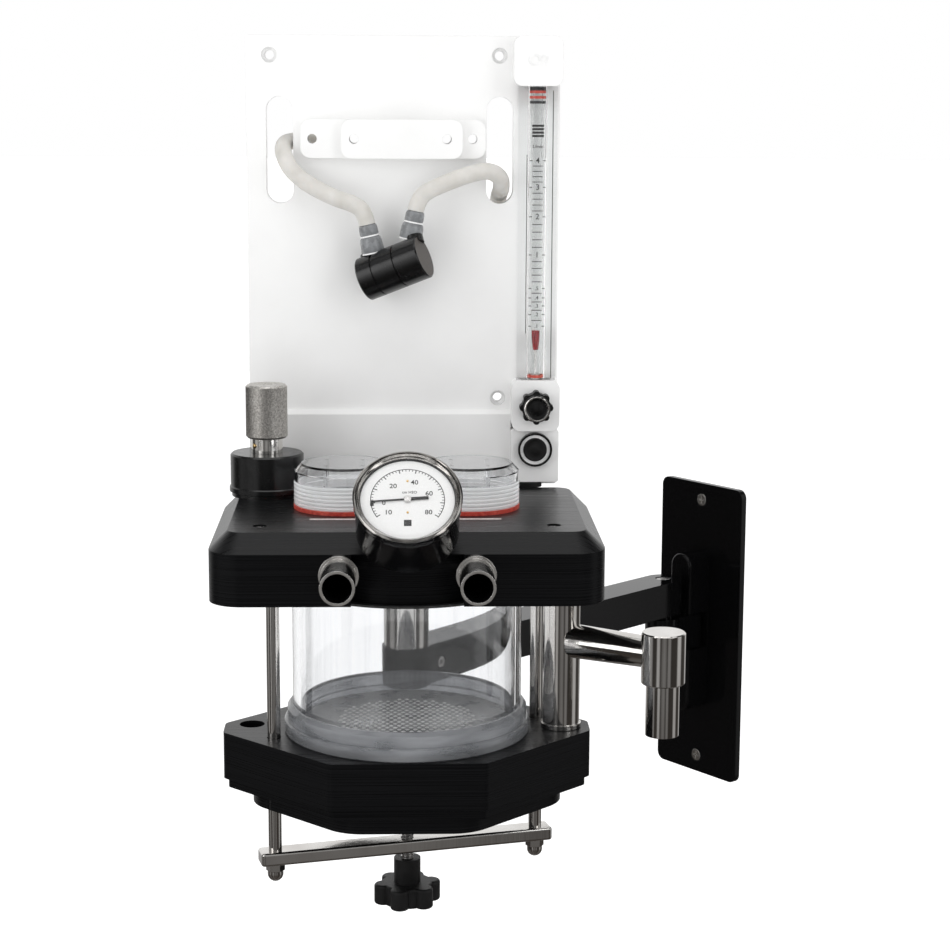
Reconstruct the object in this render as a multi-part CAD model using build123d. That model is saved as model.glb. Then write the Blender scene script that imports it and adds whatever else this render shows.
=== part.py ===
from build123d import *
import math
import os

# Wall-mounted anaesthetic circle absorber with an oxygen flowmeter, in millimetres.
# It is drawn about the canister's vertical axis, with the canister's foot at Z = 0,
# +X to the user's right, -Y towards the user, and moved at the end so that the origin
# is the centre of the wall plate's back face.

os.makedirs("parts", exist_ok=True)

# Clearances
FIT = 0.05              # radial gap of a running fit
GAP = 0.3               # gap between pieces that only pass each other

# Canister
CANISTER_R = 76.0
CANISTER_WALL = 5.0
COLLAR_R = 81.6
COLLAR_STEP_R = 79.6
COLLAR_STEP_Z = 9.0
COLLAR_TOP_Z = 19.0
COLLAR_BORE_R = 62.0
LEDGE_Z = 4.0
SCREEN_THICK = 2.5
SCREEN_HOLE_R = 1.6
SCREEN_PITCH = 5.2
SCREEN_FIELD_R = 45.5
GASKET_THICK = 1.5

# Upper block
BLOCK_BOTTOM = 101.0
BLOCK_TOP = 146.4
BLOCK_HALF = 125.7
BLOCK_FRONT = -78.0
BLOCK_BACK = 102.0
BLOCK_CORNER_R = 22.0
BLOCK_CHAMFER = 12.0
TONGUE_HALF = 55.0
TONGUE_BACK = 128.0
RECESS_HALF = 35.5
RECESS_DEPTH = 16.0
BULGE_RISE = 11.5

# Breathing ports: 22 mm conical connectors
PORT_X = 43.0
PORT_Z = 122.0
PORT_R = 11.0
PORT_BORE_R = 9.2
PORT_LENGTH = 40.5
PORT_BASE_R = 12.7
PORT_BASE_LENGTH = 5.0
PORT_SINK = 14.0

# One-way valves
VALVE_X = 41.5
VALVE_Y = 19.6
DOME_R = 33.5
DOME_TOP_R = 28.4
DOME_WALL = 2.4
SEAL_THICK = 2.6
RING_TOP = 164.6
DOME_SHOULDER = 171.6
DOME_TOP = 176.6
POCKET_R = 29.0
POCKET_DEPTH = 14.0
SEAT_R = 14.0
SEAT_TOP = 155.0
DISC_R = 21.0
DISC_THICK = 1.2
DISC_LIFT = 5.0

# Pressure gauge: 63 mm dial, tilted back on the block's front chamfer
GAUGE_TILT = 45.0
GAUGE_REACH = 51.5
CASE_R = 32.2
CASE_DEPTH = 38.0
BEZEL_R = 33.6
BEZEL_DEPTH = 8.0
DIAL_R = 30.8
NEEDLE_REST = 4.5
STEM_R = 6.5
NEEDLE_LIFT = 2.6

# Relief valve
RELIEF_X = -95.3
RELIEF_Y = 66.0
RELIEF_BASE_R = 25.0
RELIEF_FOOT_R = 25.8
RELIEF_BASE_TOP = 175.7
NECK_R = 10.7
KNOB_BOTTOM = 186.0
KNOB_TOP = 222.4
KNOB_R = 14.2
RELIEF_LIFT = 2.0

# Lower block and what hangs under it
LOWER_THICK = 31.5
LOWER_HALF = 122.0
LOWER_DEPTH = 83.0
LOWER_END = 11.0
SEALING_THICK = 6.7
COVER_THICK = 10.6
SIDE_HOLE_X = -104.0
SIDE_HOLE_Y = 8.3
SIDE_HOLE_R = 8.4

# Tie rods, clamp bar and screw
ROD_X = 87.7
ROD_Y = 22.6
ROD_R = 4.4
ROD_SINK = 20.0
BAR_TOP = -77.4
BAR_THICK = 9.0
BAR_WIDTH = 16.0
BAR_LENGTH = 202.0
NUT_HEIGHT = 12.6
NUT_R = 6.3
SCREW_R = 4.4
SCREW_PITCH = 2.0
SCREW_TURNS = 4
HUB_R = 9.0
HUB_TOP = -91.4
STAR_TOP = -108.5
STAR_THICK = 14.0
STAR_R = 22.7
STAR_LOBES = 6

# Return column and bag arm
COLUMN_X = 103.0
COLUMN_R = 12.45
COLUMN_BORE_R = 10.2
COLUMN_RING_R = 13.6
COLUMN_SINK = 15.0
BAG_ANGLE = -33.0
BAG_REACH = 75.4
BAG_TUBE_Z = 60.0
BAG_TUBE_R = 11.4
BAG_TUBE_END_R = 10.2
ELBOW_R = 14.4
ELBOW_TOP = 75.0
ELBOW_BOTTOM = 40.6
BAG_PORT_R = 11.0
BAG_PORT_BORE_R = 9.2
BAG_PORT_BOTTOM = 6.0

# Back panel
PANEL_FRONT = 102.4
PANEL_THICK = 12.0
PANEL_LEFT = -109.0
PANEL_RIGHT = 105.4
PANEL_BOTTOM = 147.0
PANEL_TOP = 456.4
STEP_Z = 200.0
STEP_PROUD = 5.0
SLOT_WIDTH = 18.4
SLOT_BOTTOM = 343.0
SLOT_TOP = 415.5
SLOT_XS = (-86.3, 64.4)
CORNER_HOLES = ((-93.0, 443.2), (64.0, 443.2), (-93.0, 207.8), (64.0, 207.8))
HOLE_R = 3.2
COUNTERBORE_R = 5.2
COUNTERBORE_DEPTH = 4.0
RAIL_Z = 387.0
RAIL_HEIGHT = 26.5
RAIL_THICK = 6.0
LONG_RAIL = (-72.0, 54.6)
SHORT_RAIL = (-44.3, 38.8)
RAIL_HOLES = (-64.0, -35.5, 27.9, 45.6)
FOOT_HALF = 60.0
FOOT_RIGHT = 95.0
FOOT_DEPTH = 9.0
FOOT_HEIGHT = 3.4

# Flowmeter, on the panel's right edge
FLOW_X = 89.6
FLOW_FRONT = 84.0
FLOW_HEAD_HALF = 16.6
FLOW_HEAD_BOTTOM = 423.0
FLOW_FOOT_TOP = 222.5
FLOW_FOOT_BOTTOM = 187.0
FLOW_BODY_HALF = 13.4
FLOW_TUBE_R = 5.2
FLOW_TUBE_BORE_R = 3.4
FLOW_TUBE_Y = 93.0
FLOAT_BOTTOM = 243.0
FLOAT_TOP = 256.4
FLOW_KNOB_Z = 204.6
FLOW_KNOB_R = 11.6
FLOW_KNOB_DEPTH = 16.0
FLUSH_Z = 173.6
FLUSH_RING_R = 11.2
FLUSH_BUTTON_R = 8.2
FLUSH_TRAVEL = 3.0

# Wall arm
POST_Y = 108.0
POST_R = 17.0
PIVOT_X = 209.0
PIVOT_Y = 315.0
ARM_WIDTH = 30.0
ARM_TOP = 30.0
BOSS_R = 18.5
SPIGOT_R = 9.0
LINK_PIN_R = 6.0
WASHER_THICK = 4.0

# Wall plate and bracket, in the plate's own frame: X along its width, -Y out of the wall
PLATE_X = 242.2
PLATE_Y = 339.1
PLATE_Z = -18.0
PLATE_TURN = -54.0
PLATE_WIDTH = 93.0
PLATE_HEIGHT = 244.0
PLATE_THICK = 5.0
PLATE_CORNER_R = 7.0
WALL_HOLE_Z = 108.3
WALL_SCREW_R = 2.4
WALL_SCREW_LENGTH = 38.0
LUG_WIDTH = 23.0
LUG_PROUD = 22.0
LUG_HEIGHT = 132.0
LINK_SLOT = 30.0
LINK_THICK = 28.0
LINK_REACH = 30.0
BRACKET_PIN_Y = -11.5
BRACKET_WEB = 0.9
BRACKET_PIN_R = 4.5

# Hoses and what hangs on them
HOSE_R = 5.75
LEFT_HOSE = [
    (-58, 127.5, 385), (-66, 127.5, 385), (-74, 126.4, 385), (-81.2, 121.6, 384.5), (-84.2, 111.5, 382.5),
    (-84.2, 100, 378), (-80, 92, 368), (-70.5, 90.5, 359), (-57.5, 89, 351.5), (-46, 87.5, 346.5),
    (-36, 86.8, 343.5), (-28.5, 86.2, 338.5), (-26.5, 86, 329.5),
]
RIGHT_HOSE = [
    (6.6, 84, 339), (8.2, 84, 347), (15.5, 84.3, 353), (30, 85.5, 359), (44, 87, 364), (56.5, 90, 366.5),
    (65, 95, 361.5), (65.8, 103.5, 353.5), (65.2, 114, 350.6), (64.6, 123, 347), (64, 127.5, 338),
    (64, 127.5, 326.5),
]
BYPASS_CENTRE = (-8.2, 80.0, 300.4)
BYPASS_AXIS = (0.885, -0.28, 0.37)
BYPASS_ROLL = -20.0
BYPASS_R = 15.0
BYPASS_LENGTH = 46.0
BYPASS_GROOVES = (-11.0, 5.5)
NIPPLES = (-15.0, 19.0)
NIPPLE_R = 5.0
CONNECTOR_LENGTH = 20.0
FITTING_SIZE = 16.0
FITTING_WIDTH = 12.0


def disc(radius, low, high, x=0, y=0):
    """Upright cylinder between two heights."""
    return Pos(x, y, (low + high) / 2) * Cylinder(radius, high - low)


def tube(outer, inner, low, high, x=0, y=0):
    """Upright ring between two heights."""
    return disc(outer, low, high, x, y) - disc(inner, low - 1, high + 1, x, y)


def rod_y(radius, front, back, x=0, z=0):
    """Cylinder lying along Y."""
    return Pos(x, (front + back) / 2, z) * Rot(90, 0, 0) * Cylinder(radius, back - front)


def block(x0, x1, y0, y1, z0, z1):
    """Plain box between its low and high corners."""
    return Pos((x0 + x1) / 2, (y0 + y1) / 2, (z0 + z1) / 2) * Box(x1 - x0, y1 - y0, z1 - z0)


def slab_y(width, height, front, back, x, z, corner):
    """Upright plate with rounded corners, its faces across Y."""
    outline = RectangleRounded(width, height, corner)
    return Pos(x, back, z) * Rot(90, 0, 0) * extrude(outline, back - front)


def revolved(profile):
    """Turned piece from (radius, height) points about the Z axis."""
    face = make_face(Polyline(*[(r, 0, z) for r, z in profile], close=True))
    return revolve(face, Axis.Z)


def pair(shape, half):
    """Two copies of a shape, at plus and minus half along X."""
    return [Pos(-half, 0, 0) * shape, Pos(half, 0, 0) * shape]


# ---------------------------------------------------------------- upper block

def upper_block():
    body = extrude(Pos(0, (BLOCK_FRONT + BLOCK_BACK) / 2, BLOCK_BOTTOM)
                   * RectangleRounded(2 * BLOCK_HALF, BLOCK_BACK - BLOCK_FRONT, BLOCK_CORNER_R),
                   BLOCK_TOP - BLOCK_BOTTOM)
    top_edges = body.faces().sort_by(Axis.Z)[-1].edges()
    rim = [e for e in top_edges if e.center().Y < BLOCK_BACK - 1]
    body = chamfer(rim, BLOCK_CHAMFER)
    body += block(-TONGUE_HALF, TONGUE_HALF, BLOCK_BACK - 1, TONGUE_BACK, BLOCK_BOTTOM, BLOCK_TOP)
    body -= front_recess()
    for side in (-1, 1):
        body -= disc(POCKET_R, BLOCK_TOP - POCKET_DEPTH, BLOCK_TOP + 1, side * VALVE_X, VALVE_Y)
        body -= rod_y(PORT_R, BLOCK_FRONT - 1, BLOCK_FRONT + PORT_SINK, side * PORT_X, PORT_Z)
        body -= rod_y(PORT_BORE_R, BLOCK_FRONT, VALVE_Y, side * PORT_X, PORT_Z)
        body -= disc(ROD_R, BLOCK_BOTTOM - 1, BLOCK_BOTTOM + ROD_SINK, side * ROD_X, side * ROD_Y)
        body -= disc(4.6, BLOCK_TOP - 6, BLOCK_TOP + 1, side * 93.8, -44.6)
        body -= disc(2.6, BLOCK_TOP - 30, BLOCK_TOP, side * 93.8, -44.6)
    body -= disc(COLUMN_R + FIT, BLOCK_BOTTOM - 1, BLOCK_BOTTOM + COLUMN_SINK, COLUMN_X)
    body -= disc(8.0, BLOCK_TOP - 30, BLOCK_TOP + 1, RELIEF_X, RELIEF_Y)
    body -= disc(8.0, BLOCK_BOTTOM - 1, BLOCK_TOP - 20, 0, VALVE_Y)
    body -= gauge_place(0) * Pos(0, 0, -GAUGE_REACH) * Cylinder(STEM_R, 24)
    return body


def front_recess():
    """Recess between the ports, with a shallow rounded nose in the middle of it."""
    back = BLOCK_FRONT + RECESS_DEPTH
    nose = ThreePointArc((-RECESS_HALF, back), (0, back - BULGE_RISE), (RECESS_HALF, back))
    mouth = Polyline((RECESS_HALF, back), (RECESS_HALF, BLOCK_FRONT - 5),
                     (-RECESS_HALF, BLOCK_FRONT - 5), (-RECESS_HALF, back))
    top = BLOCK_TOP - BLOCK_CHAMFER
    return extrude(Pos(0, 0, BLOCK_BOTTOM - 1) * make_face([nose, mouth]), top - BLOCK_BOTTOM + 1)


def block_screws():
    solids = []
    for side in (-1, 1):
        head = disc(4.2, BLOCK_TOP - 6, BLOCK_TOP - 1.2) - disc(1.9, BLOCK_TOP - 4, BLOCK_TOP)
        shank = disc(2.6, BLOCK_TOP - 29, BLOCK_TOP - 6)
        solids.append(Pos(side * 93.8, -44.6, 0) * (head + shank))
    return solids


def breathing_port():
    body = rod_y(PORT_R, BLOCK_FRONT - PORT_LENGTH, BLOCK_FRONT + PORT_SINK, 0, PORT_Z)
    body += rod_y(PORT_BASE_R, BLOCK_FRONT - PORT_BASE_LENGTH, BLOCK_FRONT, 0, PORT_Z)
    return body - rod_y(PORT_BORE_R, BLOCK_FRONT - 60, BLOCK_FRONT + 40, 0, PORT_Z)


# ---------------------------------------------------------------- one-way valves

def valve_dome():
    wall = DOME_R - DOME_WALL
    outside = [(0, RING_TOP), (DOME_R - 0.5, RING_TOP), (DOME_R - 0.5, DOME_SHOULDER),
               (DOME_TOP_R, DOME_TOP), (0, DOME_TOP)]
    inside = [(0, RING_TOP - 1), (wall, RING_TOP - 1), (wall, DOME_SHOULDER - 1),
              (DOME_TOP_R - 1, DOME_TOP - DOME_WALL), (0, DOME_TOP - DOME_WALL)]
    body = revolved(outside) - revolved(inside)
    for turn in range(4):
        x = 17 * math.cos(math.radians(45 + 90 * turn))
        y = 17 * math.sin(math.radians(45 + 90 * turn))
        body += disc(1.3, SEAT_TOP + DISC_THICK + DISC_LIFT + 0.5, DOME_TOP - DOME_WALL + 0.2, x, y)
    return Pos(0, VALVE_Y, 0) * body


def dome_ring():
    low = BLOCK_TOP + SEAL_THICK
    ribs = 6
    pitch = (RING_TOP - low) / ribs
    profile = [(POCKET_R, low)]
    for rib in range(ribs):
        z = low + rib * pitch
        profile += [(DOME_R - 0.7, z), (DOME_R, z + 0.3 * pitch), (DOME_R, z + 0.7 * pitch)]
    profile += [(DOME_R - 0.7, RING_TOP), (POCKET_R, RING_TOP)]
    return Pos(0, VALVE_Y, 0) * revolved(profile)


def dome_seal():
    return tube(DOME_R + 0.2, POCKET_R, BLOCK_TOP, BLOCK_TOP + SEAL_THICK, 0, VALVE_Y)


def valve_seat():
    floor = BLOCK_TOP - POCKET_DEPTH
    body = tube(SEAT_R, SEAT_R - 2.5, floor, SEAT_TOP, 0, VALVE_Y)
    return body + tube(POCKET_R - GAP, SEAT_R - 2.5, floor, floor + 2, 0, VALVE_Y)


def valve_disc(side):
    return disc(DISC_R, SEAT_TOP, SEAT_TOP + DISC_THICK, side * VALVE_X, VALVE_Y)


# ---------------------------------------------------------------- pressure gauge

def gauge_place(out):
    """Frame on the dial's axis: Z out of the dial, Y towards its top, out mm in front of the dial."""
    seat_y = BLOCK_FRONT + BLOCK_CHAMFER / 2
    seat_z = BLOCK_TOP - BLOCK_CHAMFER / 2
    tilt = math.radians(GAUGE_TILT)
    reach = GAUGE_REACH + out
    centre = (0, seat_y - reach * math.cos(tilt), seat_z + reach * math.sin(tilt))
    return Location(centre, (90 - GAUGE_TILT, 0, 0))


def gauge_case():
    dial_back = -4.0
    body = Pos(0, 0, -CASE_DEPTH / 2) * Cylinder(CASE_R, CASE_DEPTH)
    body = chamfer(body.edges().sort_by(Axis.Z)[0], 3)
    body -= Pos(0, 0, dial_back / 2 + 0.5) * Cylinder(DIAL_R + 0.2, -dial_back + 1)
    stem_length = GAUGE_REACH - CASE_DEPTH + 10
    body += Pos(0, 0, -CASE_DEPTH - stem_length / 2 + 0.5) * Cylinder(STEM_R, stem_length)
    collar = RegularPolygon(9.5, 6)
    body += Pos(0, 0, -CASE_DEPTH - 9) * extrude(collar, 9.5)
    return gauge_place(0) * body


def gauge_bezel():
    body = Pos(0, 0, 2 - BEZEL_DEPTH / 2) * Cylinder(BEZEL_R, BEZEL_DEPTH)
    body = chamfer(body.edges().sort_by(Axis.Z)[-1], 1.2)
    body -= Pos(0, 0, -5) * Cylinder(CASE_R, 10)
    body -= Cylinder(DIAL_R, 10)
    return gauge_place(0) * body


def gauge_dial():
    return gauge_place(0) * Pos(0, 0, -3.5) * Cylinder(DIAL_R, 1)


def gauge_lens():
    return gauge_place(0) * Pos(0, 0, 0.7) * Cylinder(DIAL_R, 1.2)


def gauge_needle():
    hub = Pos(0, 0, -2.2) * Cylinder(1.9, 1.4)
    pointer = Pos(-11.2, 0, -2.2) * Box(22.4, 0.9, 0.6)
    tail = Pos(6.4, 0, -2.2) * Box(12.8, 1.9, 0.6)
    return gauge_place(0) * Rot(0, 0, NEEDLE_REST) * (hub + pointer + tail)


# ---------------------------------------------------------------- relief valve

def relief_base():
    foot = [(0, BLOCK_TOP), (24.2, BLOCK_TOP), (24.2, BLOCK_TOP + 2.6), (RELIEF_FOOT_R, BLOCK_TOP + 3.2),
            (RELIEF_FOOT_R, BLOCK_TOP + 6.2), (RELIEF_BASE_R, BLOCK_TOP + 7.0),
            (RELIEF_BASE_R, RELIEF_BASE_TOP - 1.2), (RELIEF_BASE_R - 1.2, RELIEF_BASE_TOP), (0, RELIEF_BASE_TOP)]
    body = revolved(foot)
    body -= disc(8.0, BLOCK_TOP - 1, BLOCK_TOP + 8)
    body -= disc(14.0, BLOCK_TOP + 8, RELIEF_BASE_TOP - 6)
    body -= disc(NECK_R - 1.5, RELIEF_BASE_TOP - 7, RELIEF_BASE_TOP + 1)
    return Pos(RELIEF_X, RELIEF_Y, 0) * body


def relief_neck():
    body = disc(NECK_R, RELIEF_BASE_TOP, KNOB_BOTTOM - 0.4)
    body += disc(NECK_R - 1.5, RELIEF_BASE_TOP - 6, RELIEF_BASE_TOP)
    body += disc(8.0, KNOB_BOTTOM - 0.4, KNOB_TOP - 12)
    body -= disc(4.0, RELIEF_BASE_TOP - 7, KNOB_TOP)
    return Pos(RELIEF_X, RELIEF_Y, 0) * body


def relief_knob():
    body = disc(KNOB_R, KNOB_BOTTOM, KNOB_TOP)
    body = chamfer(body.edges().filter_by(GeomType.CIRCLE), 1.0)
    body -= disc(8.0 + FIT, KNOB_BOTTOM - 1, KNOB_TOP - 10)
    body -= disc(3.0 + FIT, KNOB_TOP - 11, KNOB_TOP - 5)
    return Pos(RELIEF_X, RELIEF_Y, 0) * body


def relief_stem():
    body = disc(3.0, RELIEF_BASE_TOP - 8, KNOB_TOP - 7)
    body += disc(6.5, RELIEF_BASE_TOP - 9, RELIEF_BASE_TOP - 7.5)
    return Pos(RELIEF_X, RELIEF_Y, 0) * body


def relief_disc():
    return disc(10.5, BLOCK_TOP + 8.05, BLOCK_TOP + 9.6, RELIEF_X, RELIEF_Y)


def relief_spring():
    low = BLOCK_TOP + 9.6 + 0.6
    high = RELIEF_BASE_TOP - 9 - 0.6
    turns = 4
    path = Helix((high - low) / turns, high - low, 5.2)
    wire = sweep(Plane(path @ 0, z_dir=path % 0) * Circle(0.55), path)
    return Pos(RELIEF_X, RELIEF_Y, low) * wire


# ---------------------------------------------------------------- canister

def canister_tube():
    return tube(CANISTER_R, CANISTER_R - CANISTER_WALL, LEDGE_Z, BLOCK_BOTTOM - GASKET_THICK)


def canister_collar():
    profile = [(COLLAR_BORE_R, 0), (COLLAR_R - 0.8, 0), (COLLAR_R, 0.8), (COLLAR_R, COLLAR_STEP_Z - 1.0),
               (COLLAR_R - 1.0, COLLAR_STEP_Z), (COLLAR_STEP_R, COLLAR_STEP_Z), (COLLAR_STEP_R, COLLAR_TOP_Z - 2.5),
               (COLLAR_STEP_R - 2.0, COLLAR_TOP_Z), (CANISTER_R, COLLAR_TOP_Z), (CANISTER_R, LEDGE_Z),
               (COLLAR_BORE_R, LEDGE_Z)]
    return revolved(profile)


def screen_plate():
    plate = Circle(CANISTER_R - CANISTER_WALL - GAP)
    holes = []
    row_step = SCREEN_PITCH * math.sqrt(3) / 2
    rows = int(SCREEN_FIELD_R / row_step)
    for row in range(-rows, rows + 1):
        shift = SCREEN_PITCH / 2 if row % 2 else 0
        reach = int(SCREEN_FIELD_R / SCREEN_PITCH) + 1
        for column in range(-reach, reach + 1):
            x = column * SCREEN_PITCH + shift
            y = row * row_step
            if math.hypot(x, y) < SCREEN_FIELD_R:
                holes.append(Pos(x, y, 0) * Circle(SCREEN_HOLE_R))
    return extrude(Pos(0, 0, LEDGE_Z) * (plate - holes), SCREEN_THICK)


def canister_gasket():
    return tube(CANISTER_R + 1.5, CANISTER_R - CANISTER_WALL - 2, BLOCK_BOTTOM - GASKET_THICK, BLOCK_BOTTOM)


# ---------------------------------------------------------------- lower block

def octagon(half, depth, end, thick, top, corner):
    """Long octagon with 45 degree sides and softened corners."""
    front = half - depth + end
    points = [(half, -end), (front, -depth), (-front, -depth), (-half, -end),
              (-half, end), (-front, depth), (front, depth), (half, end)]
    face = make_face(Polyline(*points, close=True))
    face = fillet(face.vertices(), corner)
    return Pos(0, 0, top - thick) * extrude(face, thick)


def lower_block():
    body = octagon(LOWER_HALF, LOWER_DEPTH, LOWER_END, LOWER_THICK, 0, 7)
    body -= disc(COLLAR_BORE_R, -LOWER_THICK - 1, 1)
    body -= disc(SIDE_HOLE_R, -14, 1, SIDE_HOLE_X, SIDE_HOLE_Y)
    body -= disc(COLUMN_R + FIT, -20, 1, COLUMN_X)
    for side in (-1, 1):
        body -= disc(ROD_R + GAP, -LOWER_THICK - 1, 1, side * ROD_X, side * ROD_Y)
    return body


def under_plate(half, depth, end, thick, top, bore, corner):
    body = octagon(half, depth, end, thick, top, corner)
    if bore:
        body -= disc(bore, top - thick - 1, top + 1)
    for side in (-1, 1):
        body -= disc(ROD_R + GAP, top - thick - 1, top + 1, side * ROD_X, side * ROD_Y)
    return body


# ---------------------------------------------------------------- clamp

def tie_rods():
    low = BAR_TOP - BAR_THICK - NUT_HEIGHT + 3
    return [disc(ROD_R, low, BLOCK_BOTTOM + ROD_SINK, side * ROD_X, side * ROD_Y) for side in (-1, 1)]


def acorn_nuts():
    top = BAR_TOP - BAR_THICK
    solids = []
    for side in (-1, 1):
        body = Pos(0, 0, top - 5) * extrude(RegularPolygon(NUT_R, 6), 5)
        body += disc(5.3, top - NUT_HEIGHT + 5.3, top - 4)
        body += Pos(0, 0, top - NUT_HEIGHT + 5.3) * Sphere(5.3)
        body -= disc(ROD_R, top - NUT_HEIGHT + 3, top + 1)
        solids.append(Pos(side * ROD_X, side * ROD_Y, 0) * body)
    return solids


def clamp_bar():
    turn = math.degrees(math.atan2(ROD_Y, ROD_X))
    low = BAR_TOP - BAR_THICK
    body = Pos(0, 0, low) * extrude(RectangleRounded(BAR_LENGTH, BAR_WIDTH, 2.5), BAR_THICK)
    body = fillet(body.faces().sort_by(Axis.Z)[0].edges() + body.faces().sort_by(Axis.Z)[-1].edges(), 1.6)
    body = Rot(0, 0, turn) * body
    for side in (-1, 1):
        body -= disc(ROD_R, low - 1, BAR_TOP + 1, side * ROD_X, side * ROD_Y)
    return body - disc(SCREW_R + FIT, low - 1, BAR_TOP + 1)


def clamp_screw():
    cover_bottom = -LOWER_THICK - SEALING_THICK - COVER_THICK
    return disc(SCREW_R, HUB_TOP - 8, cover_bottom - 0.2)


def star_knob():
    star = Circle(STAR_R - 5.2)
    for lobe in range(STAR_LOBES):
        turn = math.radians(360 / STAR_LOBES * lobe + 12)
        centre = STAR_R - 6.4
        star += Pos(centre * math.cos(turn), centre * math.sin(turn), 0) * Circle(6.4)
    body = Pos(0, 0, STAR_TOP - STAR_THICK) * extrude(star, STAR_THICK)
    body = fillet(body.faces().sort_by(Axis.Z)[0].edges() + body.faces().sort_by(Axis.Z)[-1].edges(), 1.8)
    body += disc(HUB_R, STAR_TOP - 1, HUB_TOP)
    return body - disc(SCREW_R, HUB_TOP - 8, HUB_TOP + 1)


# ---------------------------------------------------------------- return column and bag arm

def bag_place():
    """Frame on the column's axis with X along the bag arm."""
    return Location((COLUMN_X, 0, 0), (0, 0, BAG_ANGLE))


def return_column():
    body = tube(COLUMN_R, COLUMN_BORE_R, -12, BLOCK_BOTTOM + COLUMN_SINK - 1)
    body += tube(COLUMN_RING_R, COLUMN_R - 1, 0.3, 3.4)
    return bag_place() * (body - Pos(12, 0, BAG_TUBE_Z) * Rot(0, 90, 0) * Cylinder(8.4, 12))


def bag_arm():
    start = COLUMN_R - 4
    length = BAG_REACH - start
    cone = Pos(start + length / 2, 0, BAG_TUBE_Z) * Rot(0, 90, 0) * Cone(BAG_TUBE_R, BAG_TUBE_END_R, length)
    elbow = disc(ELBOW_R, ELBOW_BOTTOM, ELBOW_TOP, BAG_REACH)
    elbow = chamfer(elbow.edges().filter_by(GeomType.CIRCLE), 0.8)
    port = disc(BAG_PORT_R, BAG_PORT_BOTTOM, ELBOW_BOTTOM + 1, BAG_REACH)
    body = cone + elbow + port
    body -= disc(BAG_PORT_BORE_R, BAG_PORT_BOTTOM - 1, ELBOW_TOP - 4, BAG_REACH)
    body -= Pos(start + length / 2, 0, BAG_TUBE_Z) * Rot(0, 90, 0) * Cylinder(8.4, length + 2)
    body -= disc(COLUMN_R, 0, BLOCK_BOTTOM)
    return bag_place() * body


# ---------------------------------------------------------------- back panel

def back_panel():
    width = PANEL_RIGHT - PANEL_LEFT
    x = (PANEL_RIGHT + PANEL_LEFT) / 2
    z = (PANEL_TOP + PANEL_BOTTOM) / 2
    back = PANEL_FRONT + PANEL_THICK
    body = slab_y(width, PANEL_TOP - PANEL_BOTTOM, PANEL_FRONT, back, x, z, 1.5)
    height = SLOT_TOP - SLOT_BOTTOM
    for slot_x in SLOT_XS:
        slot = slab_y(SLOT_WIDTH, height, PANEL_FRONT - 1, back + 1, slot_x, SLOT_BOTTOM + height / 2,
                      SLOT_WIDTH / 2 - 0.01)
        body -= slot
    for hole_x, hole_z in CORNER_HOLES:
        body -= rod_y(HOLE_R, PANEL_FRONT - 1, back + 1, hole_x, hole_z)
        body -= rod_y(COUNTERBORE_R, PANEL_FRONT - 1, PANEL_FRONT + COUNTERBORE_DEPTH, hole_x, hole_z)
    for hole_x in RAIL_HOLES:
        body -= rod_y(HOLE_R, PANEL_FRONT - 1, back + 1, hole_x, RAIL_Z)
    body -= rod_y(4.0, PANEL_FRONT - 1, back + 1, FLOW_X, FLUSH_Z)
    return body


def lower_panel():
    body = block(PANEL_LEFT, FLOW_X - FLOW_HEAD_HALF, PANEL_FRONT - STEP_PROUD, PANEL_FRONT,
                 PANEL_BOTTOM, STEP_Z)
    edge = [e for e in body.edges().filter_by(Axis.X)
            if e.center().Z > STEP_Z - 1 and e.center().Y < PANEL_FRONT - 1]
    return chamfer(edge, 3.0)


def panel_foot():
    """Black bar along the panel's foot, with its front corners rounded."""
    back = PANEL_FRONT - STEP_PROUD
    body = block(-FOOT_HALF, FOOT_RIGHT, back - FOOT_DEPTH, back, BLOCK_TOP, BLOCK_TOP + FOOT_HEIGHT)
    edges = [e for e in body.edges().filter_by(Axis.Z) if e.center().Y < back - 1]
    return fillet(edges, FOOT_DEPTH - 1)


def mount_rails():
    solids = []
    front = PANEL_FRONT
    for low, high in (LONG_RAIL, SHORT_RAIL):
        rail = slab_y(high - low, RAIL_HEIGHT, front - RAIL_THICK, front, (low + high) / 2, RAIL_Z, 7)
        for hole_x in RAIL_HOLES:
            rail -= rod_y(HOLE_R, front - RAIL_THICK - 1, front + 1, hole_x, RAIL_Z)
        solids.append(rail)
        front -= RAIL_THICK
    return solids


# ---------------------------------------------------------------- flowmeter

def flow_end_blocks():
    solids = []
    for low, high in ((FLOW_HEAD_BOTTOM, PANEL_TOP), (FLOW_FOOT_BOTTOM, FLOW_FOOT_TOP)):
        body = slab_y(2 * FLOW_HEAD_HALF, high - low, FLOW_FRONT, PANEL_FRONT, FLOW_X, (low + high) / 2, 6)
        if low == FLOW_HEAD_BOTTOM:
            body -= disc(FLOW_TUBE_R + 0.1, low - 1, low + 8, FLOW_X, FLOW_TUBE_Y)
        else:
            body -= disc(FLOW_TUBE_R + 0.1, high - 8, high + 1, FLOW_X, FLOW_TUBE_Y)
            body -= rod_y(4.0 + FIT, FLOW_FRONT - 1, FLOW_FRONT + 12, FLOW_X, FLOW_KNOB_Z)
        solids.append(body)
    low = BLOCK_TOP + FOOT_HEIGHT + 0.4
    strip = slab_y(2 * FLOW_HEAD_HALF, FLOW_FOOT_BOTTOM - low, FLOW_FRONT + 6, PANEL_FRONT,
                   FLOW_X, (FLOW_FOOT_BOTTOM + low) / 2, 2)
    solids.append(strip - rod_y(FLUSH_RING_R - 1.5, FLOW_FRONT, PANEL_FRONT + 1, FLOW_X, FLUSH_Z))
    return solids


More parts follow.
